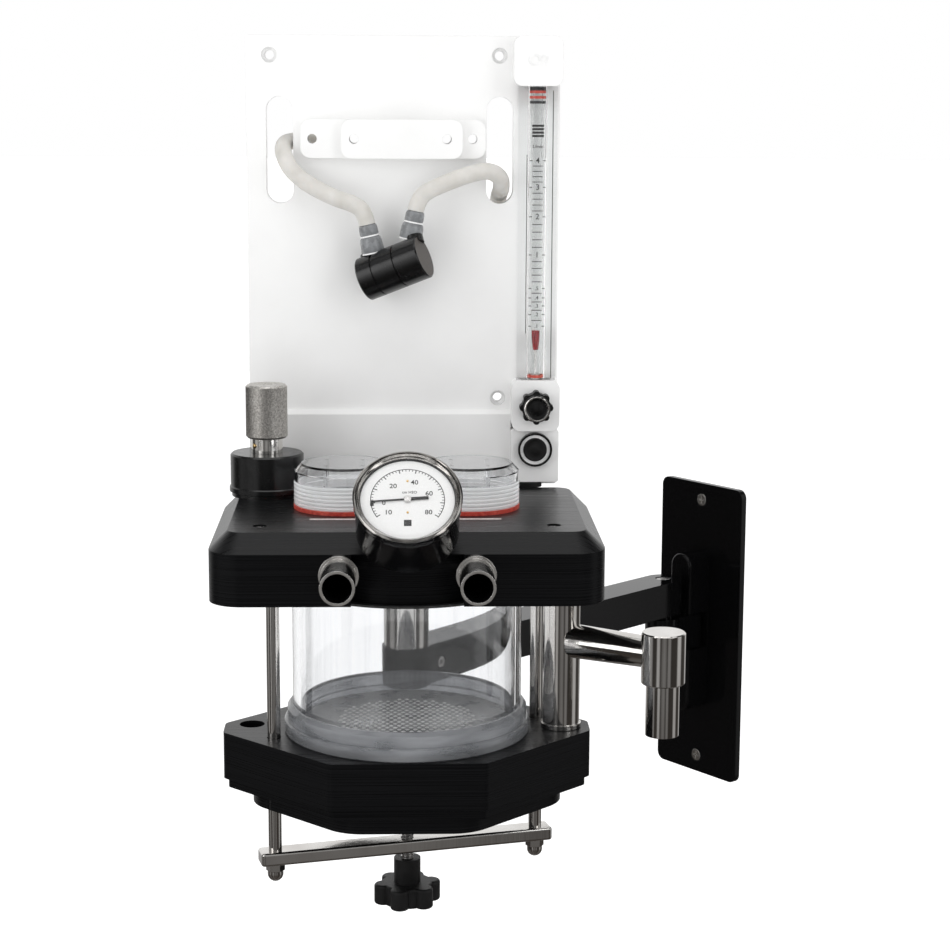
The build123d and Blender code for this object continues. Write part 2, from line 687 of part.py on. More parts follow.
def flow_body():
    body = block(FLOW_X - FLOW_BODY_HALF, FLOW_X + FLOW_BODY_HALF, FLOW_FRONT + 2, PANEL_FRONT - 0.5,
                 FLOW_FOOT_TOP, FLOW_HEAD_BOTTOM)
    body = fillet(body.edges().filter_by(Axis.Z), 3)
    return body - disc(FLOW_TUBE_R + 1.2, FLOW_FOOT_TOP - 1, FLOW_HEAD_BOTTOM + 1, FLOW_X, FLOW_TUBE_Y)


def flow_tube():
    return tube(FLOW_TUBE_R, FLOW_TUBE_BORE_R, FLOW_FOOT_TOP - 6, FLOW_HEAD_BOTTOM + 6, FLOW_X, FLOW_TUBE_Y)


def flow_seals():
    outer = FLOW_TUBE_R + 1.1
    return [tube(outer, FLOW_TUBE_R, z, z + 1.8, FLOW_X, FLOW_TUBE_Y)
            for z in (FLOW_FOOT_TOP + 1.4, FLOW_HEAD_BOTTOM - 4.8, FLOW_HEAD_BOTTOM - 8.4)]


def float_stop():
    body = disc(FLOW_TUBE_BORE_R, FLOW_FOOT_TOP - 5, FLOW_FOOT_TOP + 4, FLOW_X, FLOW_TUBE_Y)
    return body + disc(1.2, FLOW_FOOT_TOP + 3, FLOAT_BOTTOM - 0.05, FLOW_X, FLOW_TUBE_Y)


def flow_float():
    radius = FLOW_TUBE_BORE_R - 0.25
    profile = [(0, FLOAT_BOTTOM), (radius - 1.2, FLOAT_BOTTOM), (radius - 0.6, FLOAT_BOTTOM + 3),
               (radius, FLOAT_TOP - 4), (radius, FLOAT_TOP), (0, FLOAT_TOP)]
    return Pos(FLOW_X, FLOW_TUBE_Y, 0) * revolved(profile)


def flow_knob():
    lobes = 8
    rim = Circle(FLOW_KNOB_R - 1.6)
    for lobe in range(lobes):
        turn = math.radians(360 / lobes * lobe)
        centre = FLOW_KNOB_R - 2.4
        rim += Pos(centre * math.cos(turn), centre * math.sin(turn), 0) * Circle(2.4)
    rim_depth = 9.0
    cup = extrude(rim, rim_depth) + Pos(0, 0, (rim_depth + FLOW_KNOB_DEPTH) / 2) * Cylinder(
        FLOW_KNOB_R - 2.4, FLOW_KNOB_DEPTH - rim_depth)
    cup = chamfer(cup.edges().sort_by(Axis.Z)[-1], 1.0)
    cup -= Pos(0, 0, FLOW_KNOB_DEPTH) * Cylinder(FLOW_KNOB_R - 4.2, 5)
    cup += Pos(0, 0, -5) * Cylinder(4.0, 10.2)
    return Location((FLOW_X, FLOW_FRONT - 0.4, FLOW_KNOB_Z), (90, 0, 0)) * cup


def flush_ring():
    front = FLOW_FRONT + 3
    body = rod_y(FLUSH_RING_R, front, FLOW_FRONT + 6, FLOW_X, FLUSH_Z)
    body += rod_y(FLUSH_RING_R - 1.6, front, PANEL_FRONT, FLOW_X, FLUSH_Z)
    return body - rod_y(FLUSH_BUTTON_R + FIT, front - 1, PANEL_FRONT + 1, FLOW_X, FLUSH_Z)


def flush_button():
    front = FLOW_FRONT + 2.4
    body = rod_y(FLUSH_BUTTON_R, front, front + 9, FLOW_X, FLUSH_Z)
    return body + rod_y(3.0, front + 8, PANEL_FRONT + 2, FLOW_X, FLUSH_Z)


# ---------------------------------------------------------------- hoses

def hose(points):
    """Tube along straight runs joined by the largest tangent arcs that its runs allow."""
    path_points = [Vector(*p) for p in points]
    radii = []
    for before, corner, after in zip(path_points, path_points[1:], path_points[2:]):
        shorter = min((corner - before).length, (after - corner).length)
        turn = math.radians((corner - before).get_angle(after - corner))
        radii.append(0.45 * shorter / math.tan(turn / 2))
    path = FilletPolyline(*path_points, radius=radii)
    body = sweep(Plane(path @ 0, z_dir=path % 0) * Circle(HOSE_R), path)
    print("hose radii", [round(r, 1) for r in radii], "length", round(path.length, 1),
          "volume ratio", round(body.volume / (math.pi * HOSE_R ** 2 * path.length), 4))
    return body


def bypass_frame():
    """Frame at the bypass block's centre: Z along its axis, X up through its nipples."""
    axis = Vector(*BYPASS_AXIS).normalized()
    up = (Vector(0, 0, 1) - axis * Vector(0, 0, 1).dot(axis)).normalized()
    return Plane(origin=BYPASS_CENTRE, x_dir=up, z_dir=axis).location * Rot(0, 0, BYPASS_ROLL)


def bypass_block():
    body = Cylinder(BYPASS_R, BYPASS_LENGTH)
    body = chamfer(body.edges().filter_by(GeomType.CIRCLE), 0.8)
    for z in BYPASS_GROOVES:
        body -= Pos(0, 0, z) * (Cylinder(BYPASS_R + 1, 1.4) - Cylinder(BYPASS_R - 0.9, 1.4))
    for z in NIPPLES:
        body += Pos(BYPASS_R, 0, z) * Rot(0, 90, 0) * Cylinder(NIPPLE_R, 9)
    return bypass_frame() * body


def hose_connectors():
    """Stepped couplings from each hose's lower end down over its nipple."""
    length = CONNECTOR_LENGTH
    profile = [(0, 0), (6.1, 0), (6.8, 0.3 * length), (6.2, 0.32 * length), (6.2, 0.4 * length),
               (7.4, 0.43 * length), (7.8, 0.9 * length), (7.3, length), (0, length)]
    block_body = bypass_block()
    solids = []
    for inner, end in ((LEFT_HOSE[-2], LEFT_HOSE[-1]), (RIGHT_HOSE[1], RIGHT_HOSE[0])):
        place = Plane(origin=end, z_dir=Vector(*end) - Vector(*inner))
        socket = Pos(0, 0, length - 4) * Cylinder(NIPPLE_R + 1.2, 8.2)
        solids.append(place.location * (revolved(profile) - socket) - block_body)
    return solids


def hose_fittings():
    back = PANEL_FRONT + PANEL_THICK
    half = FITTING_SIZE / 2
    y = LEFT_HOSE[0][1]
    left_x, right_z = LEFT_HOSE[0][0], RIGHT_HOSE[-1][2]
    left = block(left_x + 6, left_x + 6 + FITTING_WIDTH, back, y + half, RAIL_Z - 3 - half, RAIL_Z - 3 + half)
    left += Pos(left_x + 3.5, y, LEFT_HOSE[0][2]) * Rot(0, 90, 0) * Cylinder(HOSE_R, 7)
    right = block(SLOT_XS[1] - half, SLOT_XS[1] + half, back, y + half, right_z - 6 - FITTING_SIZE, right_z - 6)
    right += Pos(RIGHT_HOSE[-1][0], y, right_z - 3.5) * Cylinder(HOSE_R, 7)
    return [left, right]


# ---------------------------------------------------------------- wall arm

def pivot_post():
    body = disc(POST_R, ARM_TOP, BLOCK_BOTTOM, 0, POST_Y)
    body += disc(SPIGOT_R - FIT, 3, ARM_TOP + 1, 0, POST_Y)
    return body


def arm_place():
    """Frame on the post's axis with X along the arm, out to the wall pivot."""
    turn = math.degrees(math.atan2(PIVOT_Y - POST_Y, PIVOT_X))
    return Location((0, POST_Y, 0), (0, 0, turn))


def arm_length():
    return math.hypot(PIVOT_X, PIVOT_Y - POST_Y)


def swing_arm():
    length = arm_length()
    low = 2.0
    body = block(0, length, -ARM_WIDTH / 2, ARM_WIDTH / 2, low, ARM_TOP)
    body += disc(ARM_WIDTH / 2, low, ARM_TOP, length)
    body += disc(BOSS_R, low, ARM_TOP)
    body -= disc(SPIGOT_R, low - 1, ARM_TOP + 1)
    body -= disc(LINK_PIN_R + FIT, low - 1, ARM_TOP + 1, length)
    body -= Pos(24, -ARM_WIDTH / 2, ARM_TOP / 2) * Rot(90, 0, 0) * Cylinder(4.2, 12)
    return arm_place() * body


def arm_set_screw():
    body = Pos(24, -ARM_WIDTH / 2 + 3.4, ARM_TOP / 2) * Rot(90, 0, 0) * Cylinder(4.0, 5)
    socket = Pos(24, -ARM_WIDTH / 2 + 0.4, ARM_TOP / 2) * Rot(90, 0, 0) * extrude(RegularPolygon(2.2, 6), 3, both=True)
    return arm_place() * (body - socket)


def link_pin():
    body = disc(LINK_PIN_R, -4 - LINK_THICK, ARM_TOP - 0.5, PIVOT_X, PIVOT_Y)
    return body


def wall_place():
    """Frame of the wall plate: its front face in XZ, -Y out of the wall."""
    return Location((PLATE_X, PLATE_Y, PLATE_Z), (0, 0, PLATE_TURN))


def link_z():
    """Height of the link's middle, in the machine's frame."""
    return -WASHER_THICK + 2 - LINK_THICK / 2


def knuckle_link():
    z0 = link_z() - LINK_THICK / 2
    z1 = link_z() + LINK_THICK / 2
    pin_a = wall_place() * Pos(0, BRACKET_PIN_Y, 0)
    ax, ay = pin_a.position.X, pin_a.position.Y
    turn = math.degrees(math.atan2(PIVOT_Y - ay, PIVOT_X - ax))
    reach = math.hypot(PIVOT_X - ax, PIVOT_Y - ay)
    half = LUG_WIDTH / 2 - 1
    body = Location((ax, ay, 0), (0, 0, turn)) * block(0, reach, -half, half, z0, z1)
    body += disc(half, z0, z1, ax, ay)
    body += disc(14.0, z0, z1, PIVOT_X, PIVOT_Y)
    body += disc(10.0, z1, 2.0 - FIT, PIVOT_X, PIVOT_Y)
    body -= disc(BRACKET_PIN_R + FIT, z0 - 1, z1 + 1, ax, ay)
    body -= disc(LINK_PIN_R, z0 - 1, 4, PIVOT_X, PIVOT_Y)
    return body


def wall_plate():
    body = slab_y(PLATE_WIDTH, PLATE_HEIGHT, 0, PLATE_THICK, 0, 0, PLATE_CORNER_R)
    for side in (-1, 1):
        body -= rod_y(WALL_SCREW_R + 0.2, -1, PLATE_THICK + 1, 0, side * WALL_HOLE_Z)
        sink = Pos(0, 1.4, side * WALL_HOLE_Z) * Rot(90, 0, 0) * Cone(WALL_SCREW_R, 5.4, 2.8 + 0.001)
        body -= sink
        body -= rod_y(WALL_SCREW_R + 2.6, PLATE_THICK - 0.8, PLATE_THICK + 1, 0, side * WALL_HOLE_Z)
    return wall_place() * body


def wall_screws():
    solids = []
    for side in (-1, 1):
        head = Pos(0, 1.35, 0) * Rot(90, 0, 0) * Cone(WALL_SCREW_R, 5.0, 2.5)
        neck = rod_y(WALL_SCREW_R - 0.4, 2.4, PLATE_THICK)
        thread = rod_y(WALL_SCREW_R, PLATE_THICK, WALL_SCREW_LENGTH)
        slots = block(-3.2, 3.2, -1, 1.3, -0.55, 0.55) + block(-0.55, 0.55, -1, 1.3, -3.2, 3.2)
        solids.append(wall_place() * Pos(0, 0, side * WALL_HOLE_Z) * (head + neck + thread - slots))
    return solids


def bracket_slot():
    """Low and high ends of the bracket's slot, in the plate's frame."""
    middle = link_z() - PLATE_Z
    return middle - LINK_SLOT / 2, middle + LINK_SLOT / 2


def wall_bracket():
    half = LUG_WIDTH / 2
    low, high = bracket_slot()
    body = slab_y(LUG_WIDTH, LUG_HEIGHT, -LUG_PROUD, 0, 0, 0, half - 0.6)
    front = [e for e in body.faces().sort_by(Axis.Y)[0].edges()]
    body = fillet(front, 2.0)
    body -= block(-half - 1, half + 1, -LUG_PROUD - 1, -BRACKET_WEB, low, high)
    body -= disc(BRACKET_PIN_R, low - 24, high + 24, 0, BRACKET_PIN_Y)
    return wall_place() * body


def bracket_pin():
    low, high = bracket_slot()
    return wall_place() * disc(BRACKET_PIN_R, low - 24, high + 24, 0, BRACKET_PIN_Y)


# ---------------------------------------------------------------- assembly

def nodes():
    cover_top = -LOWER_THICK - SEALING_THICK
    return {
        "wall_plate": wall_plate(),
        "wall_screws": wall_screws(),
        "wall_bracket": wall_bracket(),
        "bracket_pin": bracket_pin(),
        "knuckle_link": knuckle_link(),
        "link_pin": link_pin(),
        "swing_arm": swing_arm(),
        "arm_set_screw": arm_set_screw(),
        "pivot_post": pivot_post(),
        "upper_block": upper_block(),
        "block_screws": block_screws(),
        "breathing_ports": pair(breathing_port(), PORT_X),
        "gauge_case": gauge_case(),
        "gauge_bezel": gauge_bezel(),
        "gauge_lens": gauge_lens(),
        "gauge_dial": gauge_dial(),
        "gauge_needle": gauge_needle(),
        "valve_domes": pair(valve_dome(), VALVE_X),
        "dome_rings": pair(dome_ring(), VALVE_X),
        "dome_seals": pair(dome_seal(), VALVE_X),
        "valve_seats": pair(valve_seat(), VALVE_X),
        "inhale_disc": valve_disc(-1),
        "exhale_disc": valve_disc(1),
        "relief_base": relief_base(),
        "relief_neck": relief_neck(),
        "relief_knob": relief_knob(),
        "relief_stem": relief_stem(),
        "relief_spring": relief_spring(),
        "relief_disc": relief_disc(),
        "canister_tube": canister_tube(),
        "canister_collar": canister_collar(),
        "screen_plate": screen_plate(),
        "canister_gasket": canister_gasket(),
        "lower_block": lower_block(),
        "sealing_plate": under_plate(119, 79, 9, SEALING_THICK, -LOWER_THICK, COLLAR_BORE_R, 6),
        "bottom_cover": under_plate(103, 76, 14, COVER_THICK, cover_top, 0, 30),
        "tie_rods": tie_rods(),
        "acorn_nuts": acorn_nuts(),
        "clamp_bar": clamp_bar(),
        "clamp_screw": clamp_screw(),
        "star_knob": star_knob(),
        "return_column": return_column(),
        "bag_arm": bag_arm(),
        "back_panel": back_panel(),
        "lower_panel": lower_panel(),
        "panel_foot": panel_foot(),
        "mount_rails": mount_rails(),
        "flow_end_blocks": flow_end_blocks(),
        "flow_body": flow_body(),
        "flow_tube": flow_tube(),
        "flow_seals": flow_seals(),
        "float_stop": float_stop(),
        "flow_float": flow_float(),
        "flow_knob": flow_knob(),
        "flush_ring": flush_ring(),
        "flush_button": flush_button(),
        "left_hose": hose(LEFT_HOSE),
        "right_hose": hose(RIGHT_HOSE),
        "bypass_set": [bypass_block()] + hose_connectors(),
        "hose_fittings": hose_fittings(),
    }


def origin():
    """Centre of the wall plate's back face."""
    return (wall_place() * Pos(0, PLATE_THICK, 0)).position


def main():
    shift = Location(-origin())
    made = nodes()
    for name, shape in made.items():
        solids = shape if isinstance(shape, list) else [shape]
        placed = Compound(children=[shift * s for s in solids])
        export_step(placed, f"parts/{name}.step")
    print(len(made), "nodes")


if __name__ == "__main__":
    main()
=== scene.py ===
import math

import bmesh
import bpy
from mathutils import Matrix, Vector


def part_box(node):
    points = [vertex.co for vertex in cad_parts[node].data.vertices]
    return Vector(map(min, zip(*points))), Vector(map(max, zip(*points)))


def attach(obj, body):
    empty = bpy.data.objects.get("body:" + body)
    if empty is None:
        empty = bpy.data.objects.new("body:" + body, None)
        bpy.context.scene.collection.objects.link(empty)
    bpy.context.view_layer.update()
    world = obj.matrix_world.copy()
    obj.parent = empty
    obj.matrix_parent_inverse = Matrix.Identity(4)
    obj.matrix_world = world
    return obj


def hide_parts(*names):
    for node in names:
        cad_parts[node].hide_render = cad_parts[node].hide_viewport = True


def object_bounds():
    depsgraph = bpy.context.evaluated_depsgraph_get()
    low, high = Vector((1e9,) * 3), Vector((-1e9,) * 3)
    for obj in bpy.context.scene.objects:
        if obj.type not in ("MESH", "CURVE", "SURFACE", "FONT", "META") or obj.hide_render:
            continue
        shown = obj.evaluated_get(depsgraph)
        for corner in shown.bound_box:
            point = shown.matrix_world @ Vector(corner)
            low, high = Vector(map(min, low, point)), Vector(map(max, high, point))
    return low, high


# Looks for a wall-mounted anaesthetic circle absorber. Lengths below are in the machine's
# own frame: millimetres from the canister's foot centre, X right, Y away from the user.

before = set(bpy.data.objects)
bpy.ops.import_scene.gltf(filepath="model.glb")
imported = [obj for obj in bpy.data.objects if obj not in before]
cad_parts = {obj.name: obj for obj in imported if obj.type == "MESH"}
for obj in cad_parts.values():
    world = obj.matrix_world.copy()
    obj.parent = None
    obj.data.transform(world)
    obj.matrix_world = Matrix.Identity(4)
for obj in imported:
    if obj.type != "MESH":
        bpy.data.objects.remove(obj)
cad_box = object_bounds()
MM = 0.001


def machine_origin():
    """The canister's foot centre in the row frame, in metres."""
    low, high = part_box("canister_tube")
    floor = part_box("lower_block")[1][2]
    return Vector(((low[0] + high[0]) / 2, (low[1] + high[1]) / 2, floor))


MACHINE = machine_origin()


def at(x, y, z):
    """Point of the machine's frame, in millimetres, as a point of the row frame, in metres."""
    return MACHINE + Vector((x, y, z)) * MM


def place(point, x_axis, z_axis):
    """Matrix of a piece's own frame from a point and two axes."""
    z = Vector(z_axis).normalized()
    y = z.cross(Vector(x_axis)).normalized()
    x = y.cross(z)
    turn = Matrix((x, y, z)).transposed().to_4x4()
    return Matrix.Translation(point) @ turn


def upright(x, y, z=0):
    """Frame with vertical Z at a point of the machine's frame."""
    return Matrix.Translation(at(x, y, z))


# ---------------------------------------------------------------- camera

CAMERA_SPOT = (-5.8, -1425.9, 423.5)
CAMERA_YAW = 2.03
CAMERA_PITCH = 10.03
CAMERA_ROLL = 0.26
CAMERA_LENS = 83.55


def make_camera():
    yaw, pitch, roll = (math.radians(a) for a in (CAMERA_YAW, CAMERA_PITCH, CAMERA_ROLL))
    forward = Vector((math.sin(yaw) * math.cos(pitch), math.cos(yaw) * math.cos(pitch), -math.sin(pitch)))
    level = Vector((math.cos(yaw), -math.sin(yaw), 0))
    upward = level.cross(forward)
    right = level * math.cos(roll) + upward * math.sin(roll)
    up = upward * math.cos(roll) - level * math.sin(roll)
    data = bpy.data.cameras.new("camera")
    data.lens = CAMERA_LENS
    data.sensor_width = 36
    camera = bpy.data.objects.new("camera", data)
    turn = Matrix((right, up, -forward)).transposed().to_4x4()
    camera.matrix_world = Matrix.Translation(at(*CAMERA_SPOT)) @ turn
    bpy.context.collection.objects.link(camera)
    bpy.context.scene.camera = camera


# ---------------------------------------------------------------- shader helpers

def new_material(name, colour, roughness, metallic=0.0, **sockets):
    """Material whose all-over numbers sit on the shader's own sockets."""
    material = bpy.data.materials.new(name)
    material.use_nodes = True
    shader = principled(material)
    shader.inputs["Base Color"].default_value = (*colour, 1)
    shader.inputs["Roughness"].default_value = roughness
    shader.inputs["Metallic"].default_value = metallic
    for socket, value in sockets.items():
        shader.inputs[socket.replace("_", " ")].default_value = value
    return material


def principled(material):
    return material.node_tree.nodes["Principled BSDF"]


def add(owner, kind, inputs, **settings):
    """New node of a material or world. Each input given a socket is linked to it, the others are set."""
    tree = owner.node_tree
    new = tree.nodes.new("ShaderNode" + kind)
    for key, value in settings.items():
        setattr(new, key, value)
    for key, value in inputs.items():
        if isinstance(value, bpy.types.NodeSocket):
            tree.links.new(value, new.inputs[key])
        else:
            new.inputs[key].default_value = value
    return new


def noise(material, scale, detail=3.0, roughness=0.5):
    """Noise in the piece's own coordinates, with cells per metre along each axis."""
    coords = add(material, "TexCoord", {}).outputs["Object"]
    vector = add(material, "Mapping", {"Vector": coords, "Scale": scale}).outputs["Vector"]
    inputs = {"Vector": vector, "Scale": 1.0, "Detail": detail, "Roughness": roughness}
    return add(material, "TexNoise", inputs).outputs["Fac"]


def vary(material, socket, amount, low, high):
    """A shader number that follows a noise between two values."""
    spread = {"Value": amount, "From Min": 0.3, "From Max": 0.7, "To Min": low, "To Max": high}
    result = add(material, "MapRange", spread).outputs["Result"]
    material.node_tree.links.new(result, principled(material).inputs[socket])


def vary_colour(material, amount, dark, light):
    """Base colour that follows a noise between two colours."""
    ramp = add(material, "ValToRGB", {"Fac": amount})
    ramp.color_ramp.elements[0].position = 0.3
    ramp.color_ramp.elements[1].position = 0.7
    ramp.color_ramp.elements[0].color = (*dark, 1)
    ramp.color_ramp.elements[1].color = (*light, 1)
    material.node_tree.links.new(ramp.outputs["Color"], principled(material).inputs["Base Color"])


def relief(material, height, depth, edge=0.0):
    """Bump of a depth in metres, over edges that look softened by a radius."""
    inputs = {"Height": height, "Distance": depth, "Strength": 1.0}
    if edge:
        inputs["Normal"] = add(material, "Bevel", {"Radius": edge}, samples=4).outputs["Normal"]
    result = add(material, "Bump", inputs).outputs["Normal"]
    material.node_tree.links.new(result, principled(material).inputs["Normal"])


def faces_up(material):
    """1 on level faces and 0 on upright ones."""
    normal = add(material, "TexCoord", {}).outputs["Normal"]
    height = add(material, "SeparateXYZ", {"Vector": normal}).outputs["Z"]
    size = add(material, "Math", {0: height}, operation="ABSOLUTE").outputs["Value"]
    return add(material, "Math", {0: size, 1: 0.6}, operation="GREATER_THAN").outputs["Value"]


def blend(owner, kind, factor, first, second):
    """Mix of two numbers (FLOAT) or two colours (RGBA), by a factor from 0 to 1."""
    inputs = {"Factor": factor, "A": first, "B": second}
    return add(owner, "Mix", inputs, data_type=kind).outputs["Result"]


def let_lamps_through(material):
    """Rays from lamps pass this glass, so that what is inside it is lit."""
    clear = add(material, "BsdfTransparent", {}).outputs["BSDF"]
    shadow = add(material, "LightPath", {}).outputs["Is Shadow Ray"]
    mix = add(material, "MixShader", {0: shadow, 1: principled(material).outputs["BSDF"], 2: clear})
    surface = material.node_tree.nodes["Material Output"].inputs["Surface"]
    material.node_tree.links.new(mix.outputs["Shader"], surface)


# ---------------------------------------------------------------- materials

def machined_black():
    """Black acetal with milling lines: level lines on upright faces, lines along X on top."""
    material = new_material("machined_black", (0.006, 0.006, 0.0065), 0.4, Specular_IOR_Level=0.22)
    side_lines = noise(material, (5, 5, 1500), 4, 0.7)
    top_lines = noise(material, (5, 1300, 5), 4, 0.7)
    lines = blend(material, "FLOAT", faces_up(material), side_lines, top_lines)
    vary_colour(material, lines, (0.0012, 0.0012, 0.0013), (0.006, 0.0062, 0.007))
    vary(material, "Roughness", lines, 0.2, 0.42)
    shine = add(material, "MapRange", {"Value": faces_up(material), "To Min": 0.1, "To Max": 0.26})
    material.node_tree.links.new(shine.outputs["Result"], principled(material).inputs["Specular IOR Level"])
    relief(material, lines, 0.00006, 0.0007)
    return material


def turned_black():
    """Black acetal turned on a lathe, with a soft satin face."""
    material = new_material("turned_black", (0.004, 0.004, 0.0045), 0.24, Specular_IOR_Level=0.5)
    marks = noise(material, (1500, 1500, 1500), 3)
    vary_colour(material, marks, (0.001, 0.001, 0.0011), (0.004, 0.004, 0.0043))
    vary(material, "Roughness", noise(material, (160, 160, 160), 3), 0.2, 0.28)
    relief(material, marks, 0.000003)
    return material


def gloss_black():
    """Black powder coat with a slight orange peel."""
    material = new_material("gloss_black", (0.002, 0.002, 0.0022), 0.08, Specular_IOR_Level=0.2)
    vary(material, "Roughness", noise(material, (25, 25, 25), 4), 0.05, 0.13)
    relief(material, noise(material, (650, 650, 650), 2), 0.000006, 0.0009)
    return material


def moulded_black():
    """Grained black nylon."""
    material = new_material("moulded_black", (0.006, 0.006, 0.006), 0.45, Specular_IOR_Level=0.35)
    grain = noise(material, (1900, 1900, 1900), 4, 0.65)
    vary_colour(material, noise(material, (90, 90, 90), 3), (0.002, 0.002, 0.002), (0.008, 0.008, 0.0083))
    vary(material, "Roughness", grain, 0.3, 0.5)
    relief(material, grain, 0.00025, 0.0006)
    return material


def chrome():
    """Polished plate, with faint draw lines and small clouds in the polish."""
    material = new_material("chrome", (0.68, 0.66, 0.63), 0.07, 1.0)
    clouds = noise(material, (45, 45, 20), 4)
    vary(material, "Roughness", clouds, 0.05, 0.12)
    vary_colour(material, clouds, (0.60, 0.575, 0.55), (0.74, 0.725, 0.70))
    relief(material, noise(material, (420, 420, 14), 2), 0.00002, 0.0005)
    return material


def shaded_bezel_chrome():
    """Chrome of the gauge's bezel with a darker base than the other chrome, painted shade that dims its
    reflections; worn in small clouds.
    """
    material = new_material("shaded_bezel_chrome", (0.4, 0.385, 0.365), 0.12, 1.0)
    clouds = noise(material, (160, 160, 160), 3)
    vary(material, "Roughness", clouds, 0.08, 0.2)
    vary_colour(material, clouds, (0.3, 0.285, 0.27), (0.5, 0.485, 0.465))
    return material


def port_steel():
    """Satin plate of the breathing ports, bright where the lamps catch it."""
    material = new_material("port_steel", (0.86, 0.84, 0.81), 0.2, 1.0)
    rings = noise(material, (30, 1400, 30), 3)
    vary(material, "Roughness", rings, 0.08, 0.2)
    vary_colour(material, noise(material, (120, 120, 120), 3), (0.76, 0.74, 0.71), (0.93, 0.91, 0.88))
    relief(material, rings, 0.00001, 0.0005)
    return material


def steel():
    """Plain stainless steel with fine scratches."""
    material = new_material("steel", (0.62, 0.61, 0.60), 0.3, 1.0)
    scratches = noise(material, (500, 500, 2600), 3)
    vary(material, "Roughness", scratches, 0.18, 0.4)
    vary_colour(material, noise(material, (150, 150, 150), 3), (0.5, 0.49, 0.48), (0.7, 0.69, 0.68))
    relief(material, scratches, 0.00004, 0.0003)
    return material


def knurled_steel():
    """Matte steel whose colour is speckled light and dark at random, painted glints and shade that strengthen
    the knurl's sparkle.
    """
    material = new_material("knurled_steel", (0.6, 0.58, 0.55), 0.42, 1.0)
    speckle = noise(material, (800, 800, 800), 4, 0.7)
    # Light and dark speckle in the colour: painted glints and shade.
    vary_colour(material, speckle, (0.26, 0.24, 0.22), (0.86, 0.84, 0.80))
    vary(material, "Roughness", speckle, 0.32, 0.5)
    relief(material, speckle, 0.00012)
    return material


def brass():
    """Dull yellow brass of fittings and small screws."""
    material = new_material("brass", (0.72, 0.5, 0.22), 0.25, 1.0)
    wear = noise(material, (700, 700, 700), 3)
    vary_colour(material, wear, (0.55, 0.36, 0.14), (0.8, 0.58, 0.28))
    vary(material, "Roughness", wear, 0.18, 0.34)
    return material


def clear_acrylic():
    """Clear acrylic with faint upright draw lines."""
    material = new_material("clear_acrylic", (0.95, 0.955, 0.96), 0.02, Transmission_Weight=1.0, IOR=1.49)
    lines = noise(material, (260, 260, 6), 3, 0.6)
    vary_colour(material, lines, (0.87, 0.875, 0.885), (0.955, 0.96, 0.965))
    vary(material, "Roughness", noise(material, (40, 40, 9), 4), 0.0, 0.05)
    relief(material, lines, 0.00001)
    let_lamps_through(material)
    return material


def flow_acrylic():
    """Very clear polished block, which bends what is behind it only a little."""
    material = new_material("flow_acrylic", (0.98, 0.985, 0.985), 0.01, Transmission_Weight=1.0, IOR=1.12)
    haze = noise(material, (60, 60, 12), 3)
    vary_colour(material, haze, (0.93, 0.935, 0.935), (0.985, 0.99, 0.99))
    vary(material, "Roughness", haze, 0.0, 0.04)
    let_lamps_through(material)
    return material


def ring_acrylic():
    """Pale ribbed acrylic of the dome rings, frosted by turning."""
    material = new_material("ring_acrylic", (0.9, 0.91, 0.92), 0.2, Transmission_Weight=0.45, IOR=1.45)
    lines = noise(material, (12, 12, 1500), 3)
    vary_colour(material, lines, (0.80, 0.81, 0.82), (0.95, 0.96, 0.965))
    vary(material, "Roughness", lines, 0.14, 0.3)
    relief(material, lines, 0.00002)
    let_lamps_through(material)
    return material


def lens_glass():
    """Flat window glass with a few wipe marks."""
    material = new_material("lens_glass", (1, 1, 1), 0.02, Transmission_Weight=1.0, IOR=1.05)
    vary(material, "Roughness", noise(material, (60, 25, 25), 4), 0.0, 0.06)
    let_lamps_through(material)
    return material


def grey_acrylic():
    """Smoky translucent acrylic of the canister's collar."""
    material = new_material("grey_acrylic", (0.36, 0.37, 0.385), 0.07, Transmission_Weight=0.6, IOR=1.45)
    haze = noise(material, (30, 30, 160), 4)
    vary_colour(material, haze, (0.26, 0.27, 0.285), (0.46, 0.47, 0.49))
    vary(material, "Roughness", haze, 0.04, 0.1)
    let_lamps_through(material)
    return material


def frosted_acrylic():
    """Pale frosted acrylic of the screen."""
    material = new_material("frosted_acrylic", (0.28, 0.285, 0.295), 0.3, IOR=1.45)
    haze = noise(material, (70, 70, 70), 4)
    vary_colour(material, haze, (0.2, 0.205, 0.215), (0.34, 0.345, 0.355))
    vary(material, "Roughness", haze, 0.2, 0.4)
    relief(material, noise(material, (800, 800, 800), 2), 0.00006)
    return material


def red_silicone():
    """Red sealing silicone with a faint bloom."""
    material = new_material("red_silicone", (0.55, 0.05, 0.035), 0.4, Subsurface_Weight=0.2)
    bloom = noise(material, (400, 400, 400), 3)
    vary_colour(material, bloom, (0.42, 0.03, 0.025), (0.66, 0.09, 0.06))
    vary(material, "Roughness", bloom, 0.3, 0.5)
    return material


def black_rubber():
    """Matte black sealing rubber."""
    material = new_material("black_rubber", (0.02, 0.02, 0.02), 0.6)
    bloom = noise(material, (500, 500, 500), 4)
    vary_colour(material, bloom, (0.012, 0.012, 0.012), (0.035, 0.035, 0.036))
    vary(material, "Roughness", bloom, 0.5, 0.75)
    relief(material, bloom, 0.00008)
    return material


def white_sheet():
    """White machined polyethylene with a fine matte grain."""
    material = new_material("white_sheet", (0.87, 0.87, 0.865), 0.5)
    clouds = noise(material, (14, 14, 14), 4)
    vary_colour(material, clouds, (0.84, 0.84, 0.835), (0.90, 0.90, 0.895))
    vary(material, "Roughness", noise(material, (300, 300, 300), 3), 0.42, 0.6)
    relief(material, noise(material, (1400, 1400, 1400), 2), 0.00003, 0.0006)
    return material


def white_gloss():
    """Smooth white moulding."""
    material = new_material("white_gloss", (0.85, 0.85, 0.85), 0.25)
    wear = noise(material, (200, 200, 200), 3)
    vary_colour(material, wear, (0.78, 0.78, 0.78), (0.9, 0.9, 0.9))
    vary(material, "Roughness", wear, 0.18, 0.34)
    return material


